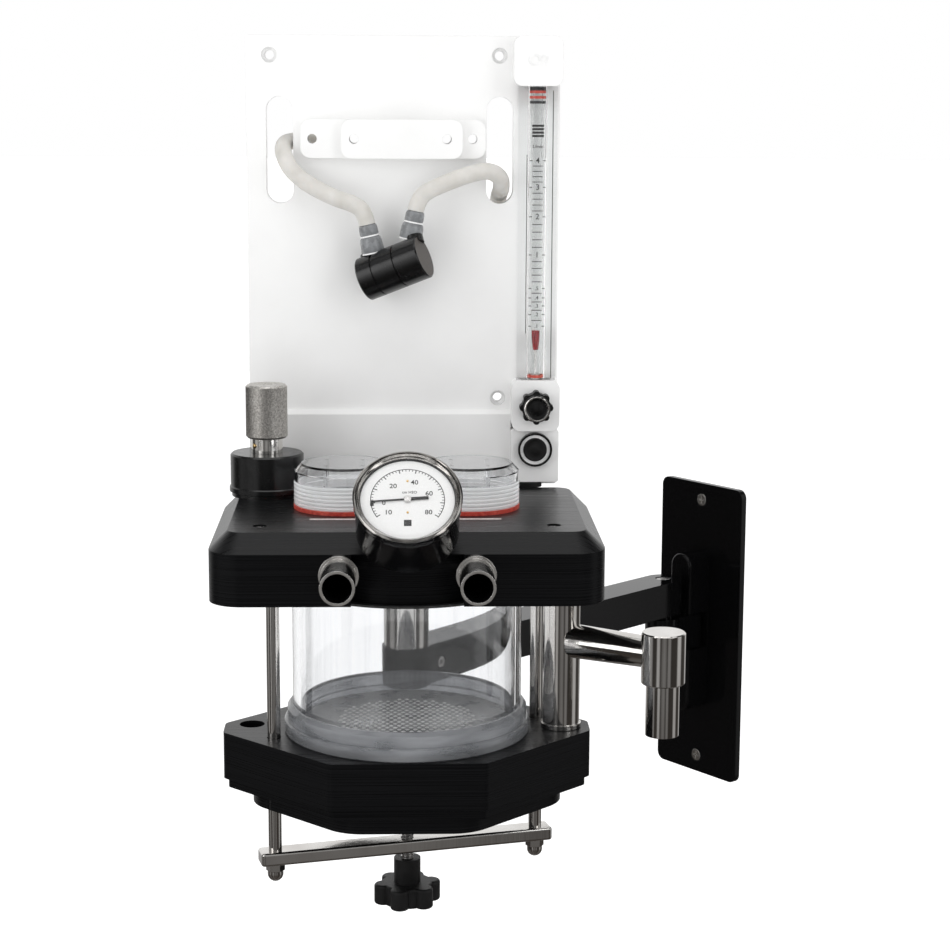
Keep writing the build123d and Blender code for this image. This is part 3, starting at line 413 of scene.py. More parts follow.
def dial_paint():
    """Off-white paint of the dial, with fine specks."""
    material = new_material("dial_paint", (0.78, 0.78, 0.775), 0.45)
    speck = noise(material, (900, 900, 900), 4, 0.7)
    vary_colour(material, speck, (0.75, 0.75, 0.745), (0.81, 0.81, 0.805))
    vary(material, "Roughness", speck, 0.38, 0.52)
    return material


def ink():
    """Printed ink, thin in places."""
    material = new_material("ink", (0.02, 0.02, 0.02), 0.5)
    cover = noise(material, (2500, 2500, 2500), 3)
    vary_colour(material, cover, (0.012, 0.012, 0.012), (0.06, 0.06, 0.06))
    vary(material, "Roughness", cover, 0.4, 0.6)
    return material


def float_red():
    """Deep red of the flowmeter's float."""
    material = new_material("float_red", (0.22, 0.015, 0.02), 0.2)
    depth = noise(material, (600, 600, 200), 3)
    vary_colour(material, depth, (0.12, 0.008, 0.012), (0.32, 0.025, 0.03))
    vary(material, "Roughness", depth, 0.14, 0.28)
    return material


def silicone_hose():
    """Milky silicone: soft light inside, faint extrusion lines and handling marks."""
    material = new_material("silicone_hose", (0.62, 0.605, 0.575), 0.42, Subsurface_Weight=0.25,
                            Subsurface_Radius=(0.006, 0.005, 0.004), Subsurface_Scale=1.0)
    marks = noise(material, (90, 90, 90), 4)
    vary_colour(material, marks, (0.56, 0.545, 0.51), (0.66, 0.645, 0.62))
    vary(material, "Roughness", marks, 0.4, 0.58)
    relief(material, noise(material, (500, 500, 500), 2), 0.00003)
    return material


def connector_plastic():
    """Smooth grey coupling plastic, a little cloudy."""
    material = new_material("connector_plastic", (0.22, 0.23, 0.24), 0.28, Coat_Weight=0.2)
    clouds = noise(material, (220, 220, 220), 3)
    vary_colour(material, clouds, (0.16, 0.165, 0.17), (0.23, 0.24, 0.25))
    vary(material, "Roughness", clouds, 0.2, 0.34)
    return material


def scored_face():
    """Faced-off end of the bypass block, brown-grey where the tool tore it."""
    material = new_material("scored_face", (0.05, 0.043, 0.038), 0.5)
    scores = noise(material, (700, 700, 700), 4, 0.7)
    vary_colour(material, scores, (0.028, 0.024, 0.021), (0.1, 0.086, 0.076))
    vary(material, "Roughness", scores, 0.4, 0.6)
    relief(material, scores, 0.0001)
    return material


def pale_label():
    """Worn, pinkish label strip."""
    material = new_material("pale_label", (0.62, 0.55, 0.53), 0.5)
    wear = noise(material, (700, 260, 260), 4, 0.7)
    vary_colour(material, wear, (0.40, 0.34, 0.33), (0.80, 0.74, 0.72))
    vary(material, "Roughness", wear, 0.4, 0.6)
    return material


def floor_paint():
    """Pale studio floor, which glows a little so that its far side stays pale."""
    material = new_material("floor_paint", (0.93, 0.93, 0.93), 0.7, Emission_Color=(1, 1, 1, 1),
                            Emission_Strength=0.5)
    vary(material, "Roughness", noise(material, (8, 8, 8), 3), 0.6, 0.8)
    return material


MATERIALS = {
    maker.__name__: maker() for maker in (
        machined_black, turned_black, gloss_black, moulded_black, chrome, shaded_bezel_chrome, port_steel, steel,
        knurled_steel, brass, clear_acrylic, flow_acrylic, ring_acrylic, lens_glass, grey_acrylic,
        frosted_acrylic, red_silicone, black_rubber, white_sheet, white_gloss, dial_paint, ink, float_red,
        silicone_hose, connector_plastic, scored_face, pale_label, floor_paint)
}

FINISHES = {
    "machined_black": ("upper_block", "lower_block", "sealing_plate", "bottom_cover"),
    "turned_black": ("relief_base", "inhale_disc", "exhale_disc", "relief_disc"),
    "gloss_black": ("wall_plate", "wall_bracket", "knuckle_link", "swing_arm", "gauge_case"),
    "moulded_black": ("star_knob", "flow_knob", "flush_button", "panel_foot"),
    "chrome": ("pivot_post", "return_column", "bag_arm", "tie_rods", "acorn_nuts", "clamp_bar"),
    "port_steel": ("breathing_ports", "relief_neck", "wall_screws"),
    "steel": ("bracket_pin", "link_pin", "arm_set_screw", "block_screws", "relief_stem",
              "relief_spring", "float_stop", "valve_seats"),
    "clear_acrylic": ("canister_tube", "valve_domes"),
    "flow_acrylic": ("flow_body", "flow_tube"),
    "ring_acrylic": ("dome_rings",),
    "lens_glass": ("gauge_lens",),
    "grey_acrylic": ("canister_collar",),
    "frosted_acrylic": ("screen_plate",),
    "red_silicone": ("dome_seals", "flow_seals"),
    "black_rubber": ("canister_gasket",),
    "white_sheet": ("back_panel", "lower_panel", "mount_rails", "flow_end_blocks"),
    "white_gloss": ("flush_ring",),
    "dial_paint": ("gauge_dial",),
    "ink": ("gauge_needle",),
    "float_red": ("flow_float",),
    "brass": ("hose_fittings",),
}


def finish_nodes():
    """Materials of the CAD nodes that stay visible."""
    for finish, names in FINISHES.items():
        for name in names:
            for material_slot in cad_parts[name].material_slots:
                material_slot.material = MATERIALS[finish]


# ---------------------------------------------------------------- mesh helpers

def new_piece(name, mesh, finish, body, sharp=35):
    """Object of a mesh, smooth but for edges sharper than an angle, riding on a body."""
    bmesh.ops.recalc_face_normals(mesh, faces=mesh.faces)
    data = bpy.data.meshes.new(name)
    mesh.to_mesh(data)
    mesh.free()
    data.shade_smooth()
    data.set_sharp_from_angle(angle=math.radians(sharp))
    return link_piece(name, data, finish, body)


def link_piece(name, data, finish, body, matrix=None):
    """Object of finished data, with its material, riding on a body."""
    piece = bpy.data.objects.new(name, data)
    bpy.context.collection.objects.link(piece)
    if matrix is not None:
        piece.matrix_world = matrix
    data.materials.append(MATERIALS[finish])
    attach(piece, body)
    return piece


def ring_of_points(mesh, matrix, radius, height, steps):
    """Circle of vertices at a height, or a single one where the radius is 0."""
    if radius == 0:
        return [mesh.verts.new(matrix @ Vector((0, 0, height * MM)))]
    ring = []
    for step in range(steps):
        turn = math.tau * step / steps
        spot = Vector((radius * math.cos(turn), radius * math.sin(turn), height)) * MM
        ring.append(mesh.verts.new(matrix @ spot))
    return ring


def join_rings(mesh, low, high):
    """Faces between two rings, either of which may be a single point."""
    count = max(len(low), len(high))
    for i in range(count):
        j = (i + 1) % count
        if len(low) == 1:
            mesh.faces.new((low[0], high[j], high[i]))
        elif len(high) == 1:
            mesh.faces.new((low[i], low[j], high[0]))
        else:
            mesh.faces.new((low[i], low[j], high[j], high[i]))


def lathe(mesh, matrix, profile, steps=72, closed=False):
    """Turned form from (radius, height) pairs about the matrix's Z axis."""
    rings = [ring_of_points(mesh, matrix, radius, height, steps) for radius, height in profile]
    if closed:
        rings.append(rings[0])
    for low, high in zip(rings, rings[1:]):
        join_rings(mesh, low, high)


def turned(name, matrix, profile, finish, body, steps=72, closed=False):
    """Piece of one turned form."""
    mesh = bmesh.new()
    lathe(mesh, matrix, profile, steps, closed)
    return new_piece(name, mesh, finish, body)


def shifted(matrix, x, y, z):
    """Matrix moved by millimetres along its own axes."""
    return matrix @ Matrix.Translation(Vector((x, y, z)) * MM)


def patch(mesh, matrix, x, y, width, height, thick, turn=0.0):
    """Thin rounded-edge bar lying on the matrix's XY plane, centred at x, y and turned about Z."""
    spin = shifted(matrix, x, y, 0) @ Matrix.Rotation(math.radians(turn), 4, "Z")
    soft = min(thick, width, height) * 0.3
    layers = []
    for inset, level in ((0, 0), (0, thick - soft), (soft, thick)):
        half_x = width / 2 - inset
        half_y = height / 2 - inset
        corners = ((-half_x, -half_y), (half_x, -half_y), (half_x, half_y), (-half_x, half_y))
        layers.append([mesh.verts.new(spin @ (Vector((cx, cy, level)) * MM)) for cx, cy in corners])
    mesh.faces.new(layers[0][::-1])
    for low, high in zip(layers, layers[1:]):
        join_rings(mesh, low, high)
    mesh.faces.new(layers[-1])


LETTER_WEIGHT = 0.012


def lettering(name, text, size, matrix, x, y, finish, body, raise_by=0.03):
    """Generic figures or units on the matrix's XY plane, centred at x, y."""
    data = bpy.data.curves.new(name, "FONT")
    data.body = text
    data.size = size * MM
    data.extrude = raise_by * MM
    data.offset = size * LETTER_WEIGHT * MM
    data.align_x = "CENTER"
    data.align_y = "CENTER"
    return link_piece(name, data, finish, body, shifted(matrix, x, y, raise_by))


# ---------------------------------------------------------------- hoses and bypass block

HOSE_R = 5.75
LEFT_HOSE = (
    (-58, 127.5, 385), (-66, 127.5, 385), (-74, 126.4, 385), (-81.2, 121.6, 384.5), (-84.2, 111.5, 382.5),
    (-84.2, 100, 378), (-80, 92, 368), (-70.5, 90.5, 359), (-57.5, 89, 351.5), (-46, 87.5, 346.5),
    (-36, 86.8, 343.5), (-28.5, 86.2, 338.5), (-26.5, 86, 329.5),
)
RIGHT_HOSE = (
    (6.6, 84, 339), (8.2, 84, 347), (15.5, 84.3, 353), (30, 85.5, 359), (44, 87, 364), (56.5, 90, 366.5),
    (65, 95, 361.5), (65.8, 103.5, 353.5), (65.2, 114, 350.6), (64.6, 123, 347), (64, 127.5, 338),
    (64, 127.5, 326.5),
)
BYPASS_CENTRE = (-8.2, 80.0, 300.4)
BYPASS_AXIS = (0.885, -0.28, 0.37)
BYPASS_ROLL = -20.0
BYPASS_R = 15.0
BYPASS_HALF = 23.0
BYPASS_GROOVES = (-11.0, 5.5)
GROOVE_DEPTH = 0.9
NIPPLES = (-15.0, 19.0)
NIPPLE_R = 5.0
NIPPLE_COLLAR_R = 6.4
CONNECTOR_LENGTH = 20.0
CONNECTOR_BORE_R = NIPPLE_R + 1.2


def hose(name, points):
    """Round hose along a smooth curve that the points pull on."""
    data = bpy.data.curves.new(name, "CURVE")
    data.dimensions = "3D"
    data.bevel_depth = HOSE_R * MM
    data.bevel_resolution = 8
    data.resolution_u = 16
    data.use_fill_caps = True
    spline = data.splines.new("NURBS")
    spline.points.add(len(points) - 1)
    for point, spot in zip(spline.points, points):
        point.co = (*at(*spot), 1)
    spline.order_u = 3
    spline.use_endpoint_u = True
    return link_piece(name, data, "silicone_hose", "machine")


def bypass_frame():
    """Frame at the bypass block's centre: Z along its axis, X through its nipples."""
    axis = Vector(BYPASS_AXIS).normalized()
    up = Vector((0, 0, 1)) - axis * axis.z
    return place(at(*BYPASS_CENTRE), up, axis) @ Matrix.Rotation(math.radians(BYPASS_ROLL), 4, "Z")


def grooved_profile(edge):
    """Half outline of the bypass block, with softened ends and its grooves."""
    floor = BYPASS_R - GROOVE_DEPTH
    groove = [(BYPASS_R, -0.9), (floor, -0.5), (floor, 0.5), (BYPASS_R, 0.9)]
    profile = [(0, -BYPASS_HALF), (BYPASS_R - edge, -BYPASS_HALF), (BYPASS_R, -BYPASS_HALF + edge)]
    for middle in BYPASS_GROOVES:
        profile += [(radius, middle + height) for radius, height in groove]
    return profile + [(BYPASS_R, BYPASS_HALF - edge), (BYPASS_R - edge, BYPASS_HALF), (0, BYPASS_HALF)]


def bypass_block():
    """Turned block with two grooves, two nipples and a scored end face."""
    home = bypass_frame()
    mesh = bmesh.new()
    lathe(mesh, home, grooved_profile(0.8), 96)
    nozzle = [(0, 0), (NIPPLE_COLLAR_R, 0), (NIPPLE_COLLAR_R, 5.0), (NIPPLE_R, 5.6), (NIPPLE_R, 8.0),
              (0, 8.0)]
    for nipple in NIPPLES:
        out = shifted(home, BYPASS_R - 4, 0, nipple) @ Matrix.Rotation(math.pi / 2, 4, "Y")
        lathe(mesh, out, nozzle, 40)
    rim = BYPASS_R - 1.2
    disc = [(0, -0.2), (rim, -0.2), (rim, 0.05), (0, 0.05)]
    face = shifted(home, 0, 0, BYPASS_HALF)
    turned("bypass_end_face", face, disc, "scored_face", "machine", 72)
    return new_piece("bypass_block", mesh, "turned_black", "machine")


def connector(name, inner, end):
    """Stepped coupling from a hose's end down over its nipple, with pale rims at its waist and foot."""
    home = place(at(*end), (0, 1, 0), at(*end) - at(*inner))
    cap = [(0, 0), (5.0, 0), (6.0, 0.7), (6.45, 2.4), (6.55, 6.6), (6.3, 7.2), (6.3, 8.6)]
    barrel = [(7.1, 9.6), (7.6, 12.0), (7.75, 15.5), (7.6, 19.2), (7.2, CONNECTOR_LENGTH)]
    bore = [(CONNECTOR_BORE_R, CONNECTOR_LENGTH), (CONNECTOR_BORE_R, 16.0), (0, 16.0)]
    rims = bmesh.new()
    for radius, height in ((6.5, 7.9), (7.45, 19.6)):
        inside = radius - 0.4
        outside = radius + 0.3
        rim = [(inside, height - 0.6), (outside, height - 0.5), (outside, height + 0.4),
               (inside, height + 0.5)]
        lathe(rims, home, rim, 48, True)
    pale = new_piece(name + "_rims", rims, "white_gloss", "machine")
    return turned(name, home, cap + barrel + bore, "connector_plastic", "machine", 48), pale


def make_hoses():
    """Both hoses with their connectors and the block that they meet in."""
    left = hose("left_hose_tube", LEFT_HOSE)
    right = hose("right_hose_tube", RIGHT_HOSE)
    block = bypass_block()
    left_end, left_rims = connector("left_connector", LEFT_HOSE[-2], LEFT_HOSE[-1])
    right_end, right_rims = connector("right_connector", RIGHT_HOSE[1], RIGHT_HOSE[0])
    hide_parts("left_hose")
    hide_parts("right_hose")
    for piece in (block, left_end, right_end):
        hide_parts("bypass_set")


# ---------------------------------------------------------------- gauge

GAUGE_CENTRE = (0, -108.416, 176.816)
GAUGE_NORMAL = (0, -1, 1)
DIAL_FACE = -3.0
DEGREES_PER_UNIT = 2.75
ZERO_TURN = 186
ARC_R = 22.5
MARK_THICK = 0.04
BEZEL_R = 33.6
CASE_R = 32.2
SHADE_RING_R = 28.8
DIAL_NUMBERS = (("10", -11.8, -9.3), ("0", -14.5, -2.4), ("20", -8.8, 10.0), ("40", 4.3, 12.7),
                ("60", 13.1, 4.5), ("80", 12.7, -9.3))
DIAL_SCREWS = (13.7, -9.4)


def gauge_frame(out):
    """Frame on the gauge's axis, Y towards its top, out mm in front of the case's front plane."""
    return shifted(place(at(*GAUGE_CENTRE), (1, 0, 0), GAUGE_NORMAL), 0, 0, out)


def dial_spot(value, radius):
    """Place of a scale value on the dial. Zero points left and the scale runs clockwise."""
    turn = math.radians(ZERO_TURN - DEGREES_PER_UNIT * value)
    return radius * math.cos(turn), radius * math.sin(turn), math.degrees(turn)


def make_bezel():
    """Polished lip that slopes inward, black skirt behind it, and a dark ring against the dial, painted shade
    of the bezel's inner wall.
    """
    crest = [(BEZEL_R, 0.1), (BEZEL_R, 0.8), (33.15, 1.2), (32.6, 1.7), (CASE_R, 1.8)]
    slope = [(31.6, 1.2), (31.0, 0.1), (30.4, -0.3), (29.7, -0.8), (29.4, -1.2), (29.4, -2.9), (CASE_R, -3.2)]
    lip = crest + slope
    skirt = [(CASE_R, -6), (33.2, -6), (33.4, -5.6), (33.4, 0.2), (CASE_R, 0.2)]
    # The lip's chrome is darkened: painted shade.
    for name, profile, finish in (("bezel_lip", lip, "shaded_bezel_chrome"), ("bezel_skirt", skirt, "gloss_black")):
        ring = turned(name, gauge_frame(0), profile, finish, "machine", 128, True)
        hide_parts("gauge_bezel")
    # Dark rubber ring inside the lip: painted shade where the bezel's inner wall is in shadow.
    shade_ring_profile = [(SHADE_RING_R, -3.0), (SHADE_RING_R, -2.5), (29.1, -1.4), (29.5, -1.1), (29.5, -3.0)]
    turned("bezel_shade_ring", gauge_frame(0), shade_ring_profile, "black_rubber", "machine", 112, True)


def make_dial_ticks():
    """Scale from -10 to 80 with its arc, a plain square low on the dial, and the needle's stop."""
    marks = bmesh.new()
    face = gauge_frame(DIAL_FACE)
    for value in range(-10, 81, 2):
        length, width = (2.6, 0.6) if value % 10 == 0 else (1.5, 0.42)
        x, y, turn = dial_spot(value, ARC_R - length / 2)
        patch(marks, face, x, y, length, width, MARK_THICK, turn)
    arc_step = ARC_R * math.radians(DEGREES_PER_UNIT) + 0.1
    for value in range(-10, 81):
        x, y, turn = dial_spot(value, ARC_R)
        patch(marks, face, x, y, 0.5, arc_step, MARK_THICK, turn)
    patch(marks, face, 0, -17.0, 4.6, 4.5, MARK_THICK)
    patch(marks, face, -21.7, -3.4, 2.1, 2.2, 0.5)
    new_piece("dial_ticks", marks, "ink", "machine")


def make_gauge():
    """Bezel, dial markings, dial screws and the cap on the needle's hub."""
    make_bezel()
    make_dial_ticks()
    face = gauge_frame(DIAL_FACE)
    for text, x, y in DIAL_NUMBERS:
        lettering("dial_number_" + text, text, 4.6, face, x, y, "ink", "machine")
    lettering("dial_unit", "cm H2O", 2.6, face, 1.2, 5.4, "ink", "machine")
    screws = bmesh.new()
    head = [(0, 0), (0.75, 0), (0.75, 0.35), (0.5, 0.55), (0, 0.57)]
    for height in DIAL_SCREWS:
        lathe(screws, shifted(face, 0, height, 0), head, 20)
    new_piece("dial_screws", screws, "brass", "machine")
    cap = [(0, 0.4), (2.3, 0.4), (2.3, 1.6), (1.9, 1.9), (1.2, 1.9), (1.0, 1.6), (0, 1.6)]
    turned("needle_cap", face, cap, "steel", "needle", 32)


# ---------------------------------------------------------------- knurl and thread

def turned_surface(name, matrix, rows, steps, radius_at, caps, finish, body):
    """Turned form whose radius follows a function of turn and height, closed by end profiles."""
    mesh = bmesh.new()
    rings = []
    for height in rows:
        ring = []
        for step in range(steps):
            turn = math.tau * step / steps
            radius = radius_at(turn, height)
            spot = Vector((radius * math.cos(turn), radius * math.sin(turn), height)) * MM
            ring.append(mesh.verts.new(matrix @ spot))
        rings.append(ring)
    for radius, height in caps[0]:
        rings.insert(0, ring_of_points(mesh, matrix, radius, height, steps))
    for radius, height in caps[1]:
        rings.append(ring_of_points(mesh, matrix, radius, height, steps))
    for low, high in zip(rings, rings[1:]):
        join_rings(mesh, low, high)
    return new_piece(name, mesh, finish, body, 50)


def node_size(name):
    """Foot centre in metres, and radius and height in millimetres, of an upright round CAD node."""
    low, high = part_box(name)
    centre = Vector(((low[0] + high[0]) / 2, (low[1] + high[1]) / 2, low[2]))
    return centre, (high[0] - low[0]) / 2 / MM, (high[2] - low[2]) / MM


def zigzag(value):
    """Triangle wave from 0 to 1 and back over each unit."""
    return abs(2 * (value % 1.0) - 1)


def knurled_knob():
    """Relief valve's knob, with a diamond knurl between plain chamfers."""
    centre, radius, tall = node_size("relief_knob")
    around = 66
    depth = 0.34
    chamfer = 1.2
    pitch = math.tau * radius / around

    def radius_at(turn, height):
        right = zigzag(turn * around / math.tau + height / pitch)
        left = zigzag(turn * around / math.tau - height / pitch)
        return radius - depth * (1 - min(right, left) * 1.6) if min(right, left) < 0.62 else radius

    count = int((tall - 2 * chamfer) / pitch * 4)
    rows = [chamfer + (tall - 2 * chamfer) * row / count for row in range(count + 1)]
    bottom = [(radius - 0.5, 0.9), (radius - chamfer, 0), (0, 0)]
    top = [(radius - 0.5, tall - 0.9), (radius - chamfer, tall), (4.2, tall), (3.8, tall - 0.4),
           (0, tall - 0.4)]
    knob = turned_surface("knurled_knob", Matrix.Translation(centre), rows, around * 4, radius_at,
                          (bottom, top), "knurled_steel", "relief_cap")
    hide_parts("relief_knob")


def threaded_screw():
    """Clamp screw with a rounded right-hand thread and a domed tip."""
    centre, radius, tall = node_size("clamp_screw")
    pitch = 2.0
    depth = 0.75

    def radius_at(turn, height):
        return radius - depth * (1 - zigzag(height / pitch - turn / math.tau))

    count = int((tall - 2) / pitch * 8)
    rows = [0.5 + (tall - 2) * row / count for row in range(count + 1)]
    caps = ([(0, 0)], [(radius - 1.1, tall - 0.8), (radius - 2.2, tall), (0, tall)])
    screw = turned_surface("threaded_screw", Matrix.Translation(centre), rows, 40, radius_at, caps,
                           "steel", "clamp")
    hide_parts("clamp_screw")


# ---------------------------------------------------------------- flowmeter trim

FLOW_X = 89.6
FLOW_BODY_FRONT = 86.0
FLOW_HEAD_FRONT = 84.0
FLOW_TUBE_Y = 93.0
FLOW_KNOB_SPOT = (FLOW_X, 83.6, 204.6)
FLUSH_SPOT = (FLOW_X, 87.0, 173.6)
SCALE_LABELS = (("4", 373), ("3", 355), ("2", 335), ("1", 309), (".5", 286), (".4", 279.5), (".3", 274),
                (".2", 268), (".1", 260))
FIRST_BAR = 389.6
BAR_PITCH = 2.3
TOP_RINGS = ((411.3, 413.0), (419.8, 422.4))


def front_frame(x, y, z):
    """Frame on a face that looks at the user: X right, Y up, Z out of the face."""
    return place(at(x, y, z), (1, 0, 0), (0, -1, 0))


def make_scale_marks(face):
    """Scale lines, the tube's two long edge lines, and four bars in place of a printed label."""
    marks = bmesh.new()
    heights = [height for _, height in SCALE_LABELS]
    for height in heights:
        for side in (-1, 1):
            patch(marks, face, side * 4.6, height, 2.0, 0.6, MARK_THICK)
    for height, below in zip(heights, heights[1:]):
        parts = 5 if height - below > 10 else 2
        for part in range(1, parts):
            patch(marks, face, 0, height + (below - height) * part / parts, 7.0, 0.55, MARK_THICK)
    patch(marks, face, -7.4, 316, 0.5, 122, MARK_THICK)
    patch(marks, face, 10.2, 322, 0.6, 196, MARK_THICK)
    for bar in range(4):
        patch(marks, face, 0, FIRST_BAR + bar * BAR_PITCH, 8.0, 1.5, MARK_THICK)
    new_piece("flow_scale", marks, "ink", "machine")


def make_flow_scale():
    """Marks and lettering of the flowmeter, and the black rings round its tube's top."""
    face = front_frame(FLOW_X, FLOW_BODY_FRONT, 0)
    make_scale_marks(face)
    for text, height in SCALE_LABELS:
        size = 5.4 if height > 300 else 3.6
        name = "flow_number" + text.replace(".", "_0")
        lettering(name, text, size, face, 0, height, "ink", "machine")
    lettering("flow_unit", "L/min", 3.2, face, 0, 382.5, "ink", "machine")
    head = front_frame(FLOW_X, FLOW_HEAD_FRONT, 0)
    lettering("gas_symbol", "O2", 11, head, 0, 440, "white_gloss", "machine", 0.3)
    rings = bmesh.new()
    for low, high in TOP_RINGS:
        ring = [(5.25, low), (6.1, low), (6.1, high), (5.25, high)]
        lathe(rings, upright(FLOW_X, FLOW_TUBE_Y), ring, 40, True)
    new_piece("flow_top_rings", rings, "black_rubber", "machine")


def make_flow_knob_trim():
    """Bright ring and dished middle on the flow knob's face."""
    face = front_frame(*FLOW_KNOB_SPOT)
    ring = [(7.3, 15.2), (7.5, 16.05), (8.3, 16.2), (8.8, 15.9), (8.9, 15.2)]
    turned("flow_knob_ring", face, ring, "chrome", "flow_control", 64, True)
    dish = [(0, 14.6), (2.6, 14.4), (4.4, 13.9), (6.4, 13.7), (7.3, 14.2), (7.3, 13.4), (0, 13.4)]
    turned("flow_knob_dish", face, dish, "turned_black", "flow_control", 48)


def make_flush_trim():
    """Black ring round the flush button, and the button's dished cap."""
    face = front_frame(*FLUSH_SPOT)
    outer = [(10.4, 0), (10.4, 1.2), (10.9, 1.7), (11.5, 1.7), (11.9, 1.2), (11.9, -2.8), (10.4, -2.8)]
    turned("flush_outer_ring", face, outer, "turned_black", "machine", 72, True)
    cap = [(0, 1.7), (2.8, 1.7), (3.4, 1.4), (4.4, 1.3), (6.6, 1.35), (7.3, 1.6), (7.9, 1.3), (8.0, 0.5),
           (0, 0.5)]
    turned("flush_cap", face, cap, "moulded_black", "flush", 56)


# ---------------------------------------------------------------- small trim

SCREEN_TOP = 6.3
BEAD_PITCH = 5.2
BEAD_FIELD_R = 45.5
BEAD_R = 1.7


def make_screen_glint_beads():
    """White beads in staggered rows on the screen, painted glints where its holes catch the light."""
    beads = bmesh.new()
    bead = [(0, 0.8), (0.8, 0.66), (1.3, 0.4), (BEAD_R, 0.0), (BEAD_R, -0.6), (0, -0.6)]
    row_pitch = BEAD_PITCH * math.sqrt(3) / 2
    rows = int(BEAD_FIELD_R / row_pitch)
    reach = int(BEAD_FIELD_R / BEAD_PITCH) + 1
    for row in range(-rows, rows + 1):
        shift = BEAD_PITCH / 2 if row % 2 else 0
        for column in range(-reach, reach + 1):
            x = column * BEAD_PITCH + shift
            y = row * row_pitch
            if math.hypot(x, y) < BEAD_FIELD_R:
                lathe(beads, upright(x, y, SCREEN_TOP), bead, 12)
    # White beads: painted glints of the screen's holes.
    new_piece("screen_glint_beads", beads, "white_gloss", "canister")


BLOCK_TOP = 146.4
LABEL_Y = -24
LABEL_ENDS = ((-63, -20), (20, 61))
LABEL_WIDTH = 4.0


def make_labels():
    """Two plain strips on the upper block, in front of the domes."""
    strips = bmesh.new()
    for low, high in LABEL_ENDS:
        face = upright((low + high) / 2, LABEL_Y, BLOCK_TOP)
        patch(strips, face, 0, 0, high - low, LABEL_WIDTH, 0.15)
    new_piece("label_strips", strips, "pale_label", "machine")


RELIEF_NECK_SPOT = (-95.3, 66, 181)
RELIEF_NECK_R = 10.3
RELIEF_STOP_TURN = 222


def make_relief_ball():
    """Brass stop in the relief valve's neck, on its left front."""
    turn = math.radians(RELIEF_STOP_TURN)
    out = Vector((math.cos(turn), math.sin(turn), 0))
    home = place(at(*RELIEF_NECK_SPOT) + out * RELIEF_NECK_R * MM, (0, 0, 1), out)
    ball = [(0, -0.5), (1.9, -0.5), (1.8, 0.5), (1.3, 1.1), (0.6, 1.35), (0, 1.4)]
    turned("relief_stop", home, ball, "brass", "machine", 24)


PORT_X = 43.0
PORT_END_Y = -118.5
PORT_Z = 122.0


def make_port_shade_sleeves():
    """Dark sleeves inside the breathing ports, painted shade for the dark inside of their open ends."""
    shade_sleeve = [(9.15, -0.4), (9.15, -30), (8.9, -30), (8.9, -1.0)]
    for side, name in ((-1, "left"), (1, "right")):
        face = front_frame(side * PORT_X, PORT_END_Y, PORT_Z)
        turned(name + "_port_shade_sleeve", face, shade_sleeve, "turned_black", "machine", 56, True)


# ---------------------------------------------------------------- stage, lights, world

FLOOR_DROP = 0.45


def make_floor():
    """Wide level disc just below the part."""
    mesh = bmesh.new()
    level = cad_box[0][2] - FLOOR_DROP
    bmesh.ops.create_circle(mesh, cap_ends=True, segments=96, radius=30)
    data = bpy.data.meshes.new("floor")
    mesh.to_mesh(data)
    mesh.free()
    data.materials.append(MATERIALS["floor_paint"])
    floor = bpy.data.objects.new("floor", data)
    floor.location = (MACHINE.x, MACHINE.y, level)
    bpy.context.collection.objects.link(floor)
    floor.visible_glossy = False


def softbox(name, spot, aim, width, height, power):
    """Rectangular lamp at a spot of the machine's frame, sized in metres, aimed at another spot."""
    data = bpy.data.lights.new(name, "AREA")
    data.shape = "RECTANGLE"
    data.size = width
    data.size_y = height
    data.energy = power
    light = bpy.data.objects.new(name, data)
    light.location = at(*spot)
    towards = at(*aim) - at(*spot)
    light.rotation_euler = towards.to_track_quat("-Z", "Y").to_euler()
    bpy.context.collection.objects.link(light)


def make_lights():
    softbox("left_box", (-1500, -1100, 700), (0, 0, 150), 0.7, 1.6, 8)
    softbox("right_box", (1300, -1300, 900), (0, 0, 150), 0.6, 1.4, 6)
    softbox("top_box", (0, -300, 1700), (0, 20, 150), 1.6, 1.0, 6)


BACKDROP = (1.0, 1.0, 1.0, 1)
FILL = (0.68, 0.68, 0.68, 1)
UNDERSIDE = (0.05, 0.042, 0.036, 1)
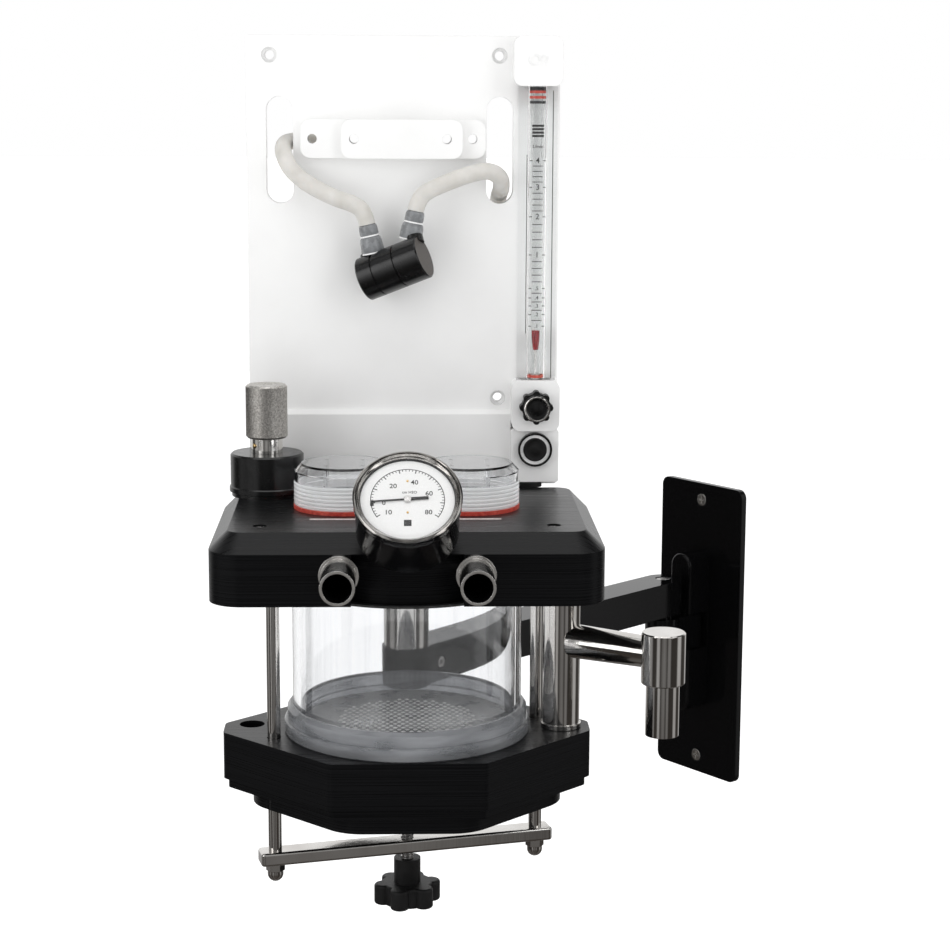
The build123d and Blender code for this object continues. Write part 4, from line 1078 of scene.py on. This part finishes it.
# Place round the horizon and brightness of what glossy metal reflects. Places run from straight in
# front of the machine, round by its left and back, to the front again.
BANDS = (
    (0.0, 0.35), (0.03, 0.25), (0.06, 0.02), (0.075, 0.75), (0.105, 0.8), (0.12, 0.04), (0.17, 0.03),
    (0.19, 0.5), (0.25, 0.6), (0.27, 0.05), (0.33, 0.04), (0.36, 0.9), (0.45, 1.0), (0.5, 1.0), (0.6, 1.0),
    (0.64, 0.06), (0.72, 0.05), (0.74, 0.9), (0.79, 0.9), (0.81, 0.04), (0.90, 0.03), (0.92, 0.4),
    (0.945, 0.35), (0.96, 0.04), (0.98, 0.25), (1.0, 0.35),
)


def band_colours(world, place_round):
    """Colour ramp of the bands, by the place round the horizon from 0 to 1."""
    ramp = add(world, "ValToRGB", {"Fac": place_round})
    elements = ramp.color_ramp.elements
    while len(elements) < len(BANDS):
        elements.new(0.5)
    for element, (position, level) in zip(elements, BANDS):
        element.position = position
        element.color = (level, level, level, 1)
    return ramp.outputs["Color"]


def make_world():
    """White surroundings, dimmer for diffuse light, with upright bands for glossy metal to reflect."""
    world = bpy.data.worlds.new("studio")
    world.use_nodes = True
    direction = add(world, "TexCoord", {}).outputs["Generated"]
    parts = add(world, "SeparateXYZ", {"Vector": direction}).outputs
    angle = add(world, "Math", {0: parts["X"], 1: parts["Y"]}, operation="ARCTAN2").outputs["Value"]
    turn = add(world, "MapRange", {"Value": angle, "From Min": -math.pi, "From Max": math.pi})
    drop = {"Value": parts["Z"], "From Min": -0.45, "From Max": 0.0, "To Min": 0.12, "To Max": 1.0}
    height = add(world, "MapRange", drop).outputs["Result"]
    bands = blend(world, "RGBA", height, UNDERSIDE, band_colours(world, turn.outputs["Result"]))
    rays = add(world, "LightPath", {}).outputs
    plain = blend(world, "RGBA", rays["Is Diffuse Ray"], BACKDROP, FILL)
    colour = blend(world, "RGBA", rays["Is Glossy Ray"], plain, bands)
    world.node_tree.links.new(colour, world.node_tree.nodes["Background"].inputs["Color"])
    bpy.context.scene.world = world


# ---------------------------------------------------------------- making

make_camera()
make_hoses()
finish_nodes()
make_gauge()
knurled_knob()
threaded_screw()
make_flow_scale()
make_flow_knob_trim()
make_flush_trim()
make_screen_glint_beads()
make_labels()
make_relief_ball()
make_port_shade_sleeves()
make_floor()
make_lights()
make_world()
bpy.context.scene.view_settings.view_transform = "Standard"
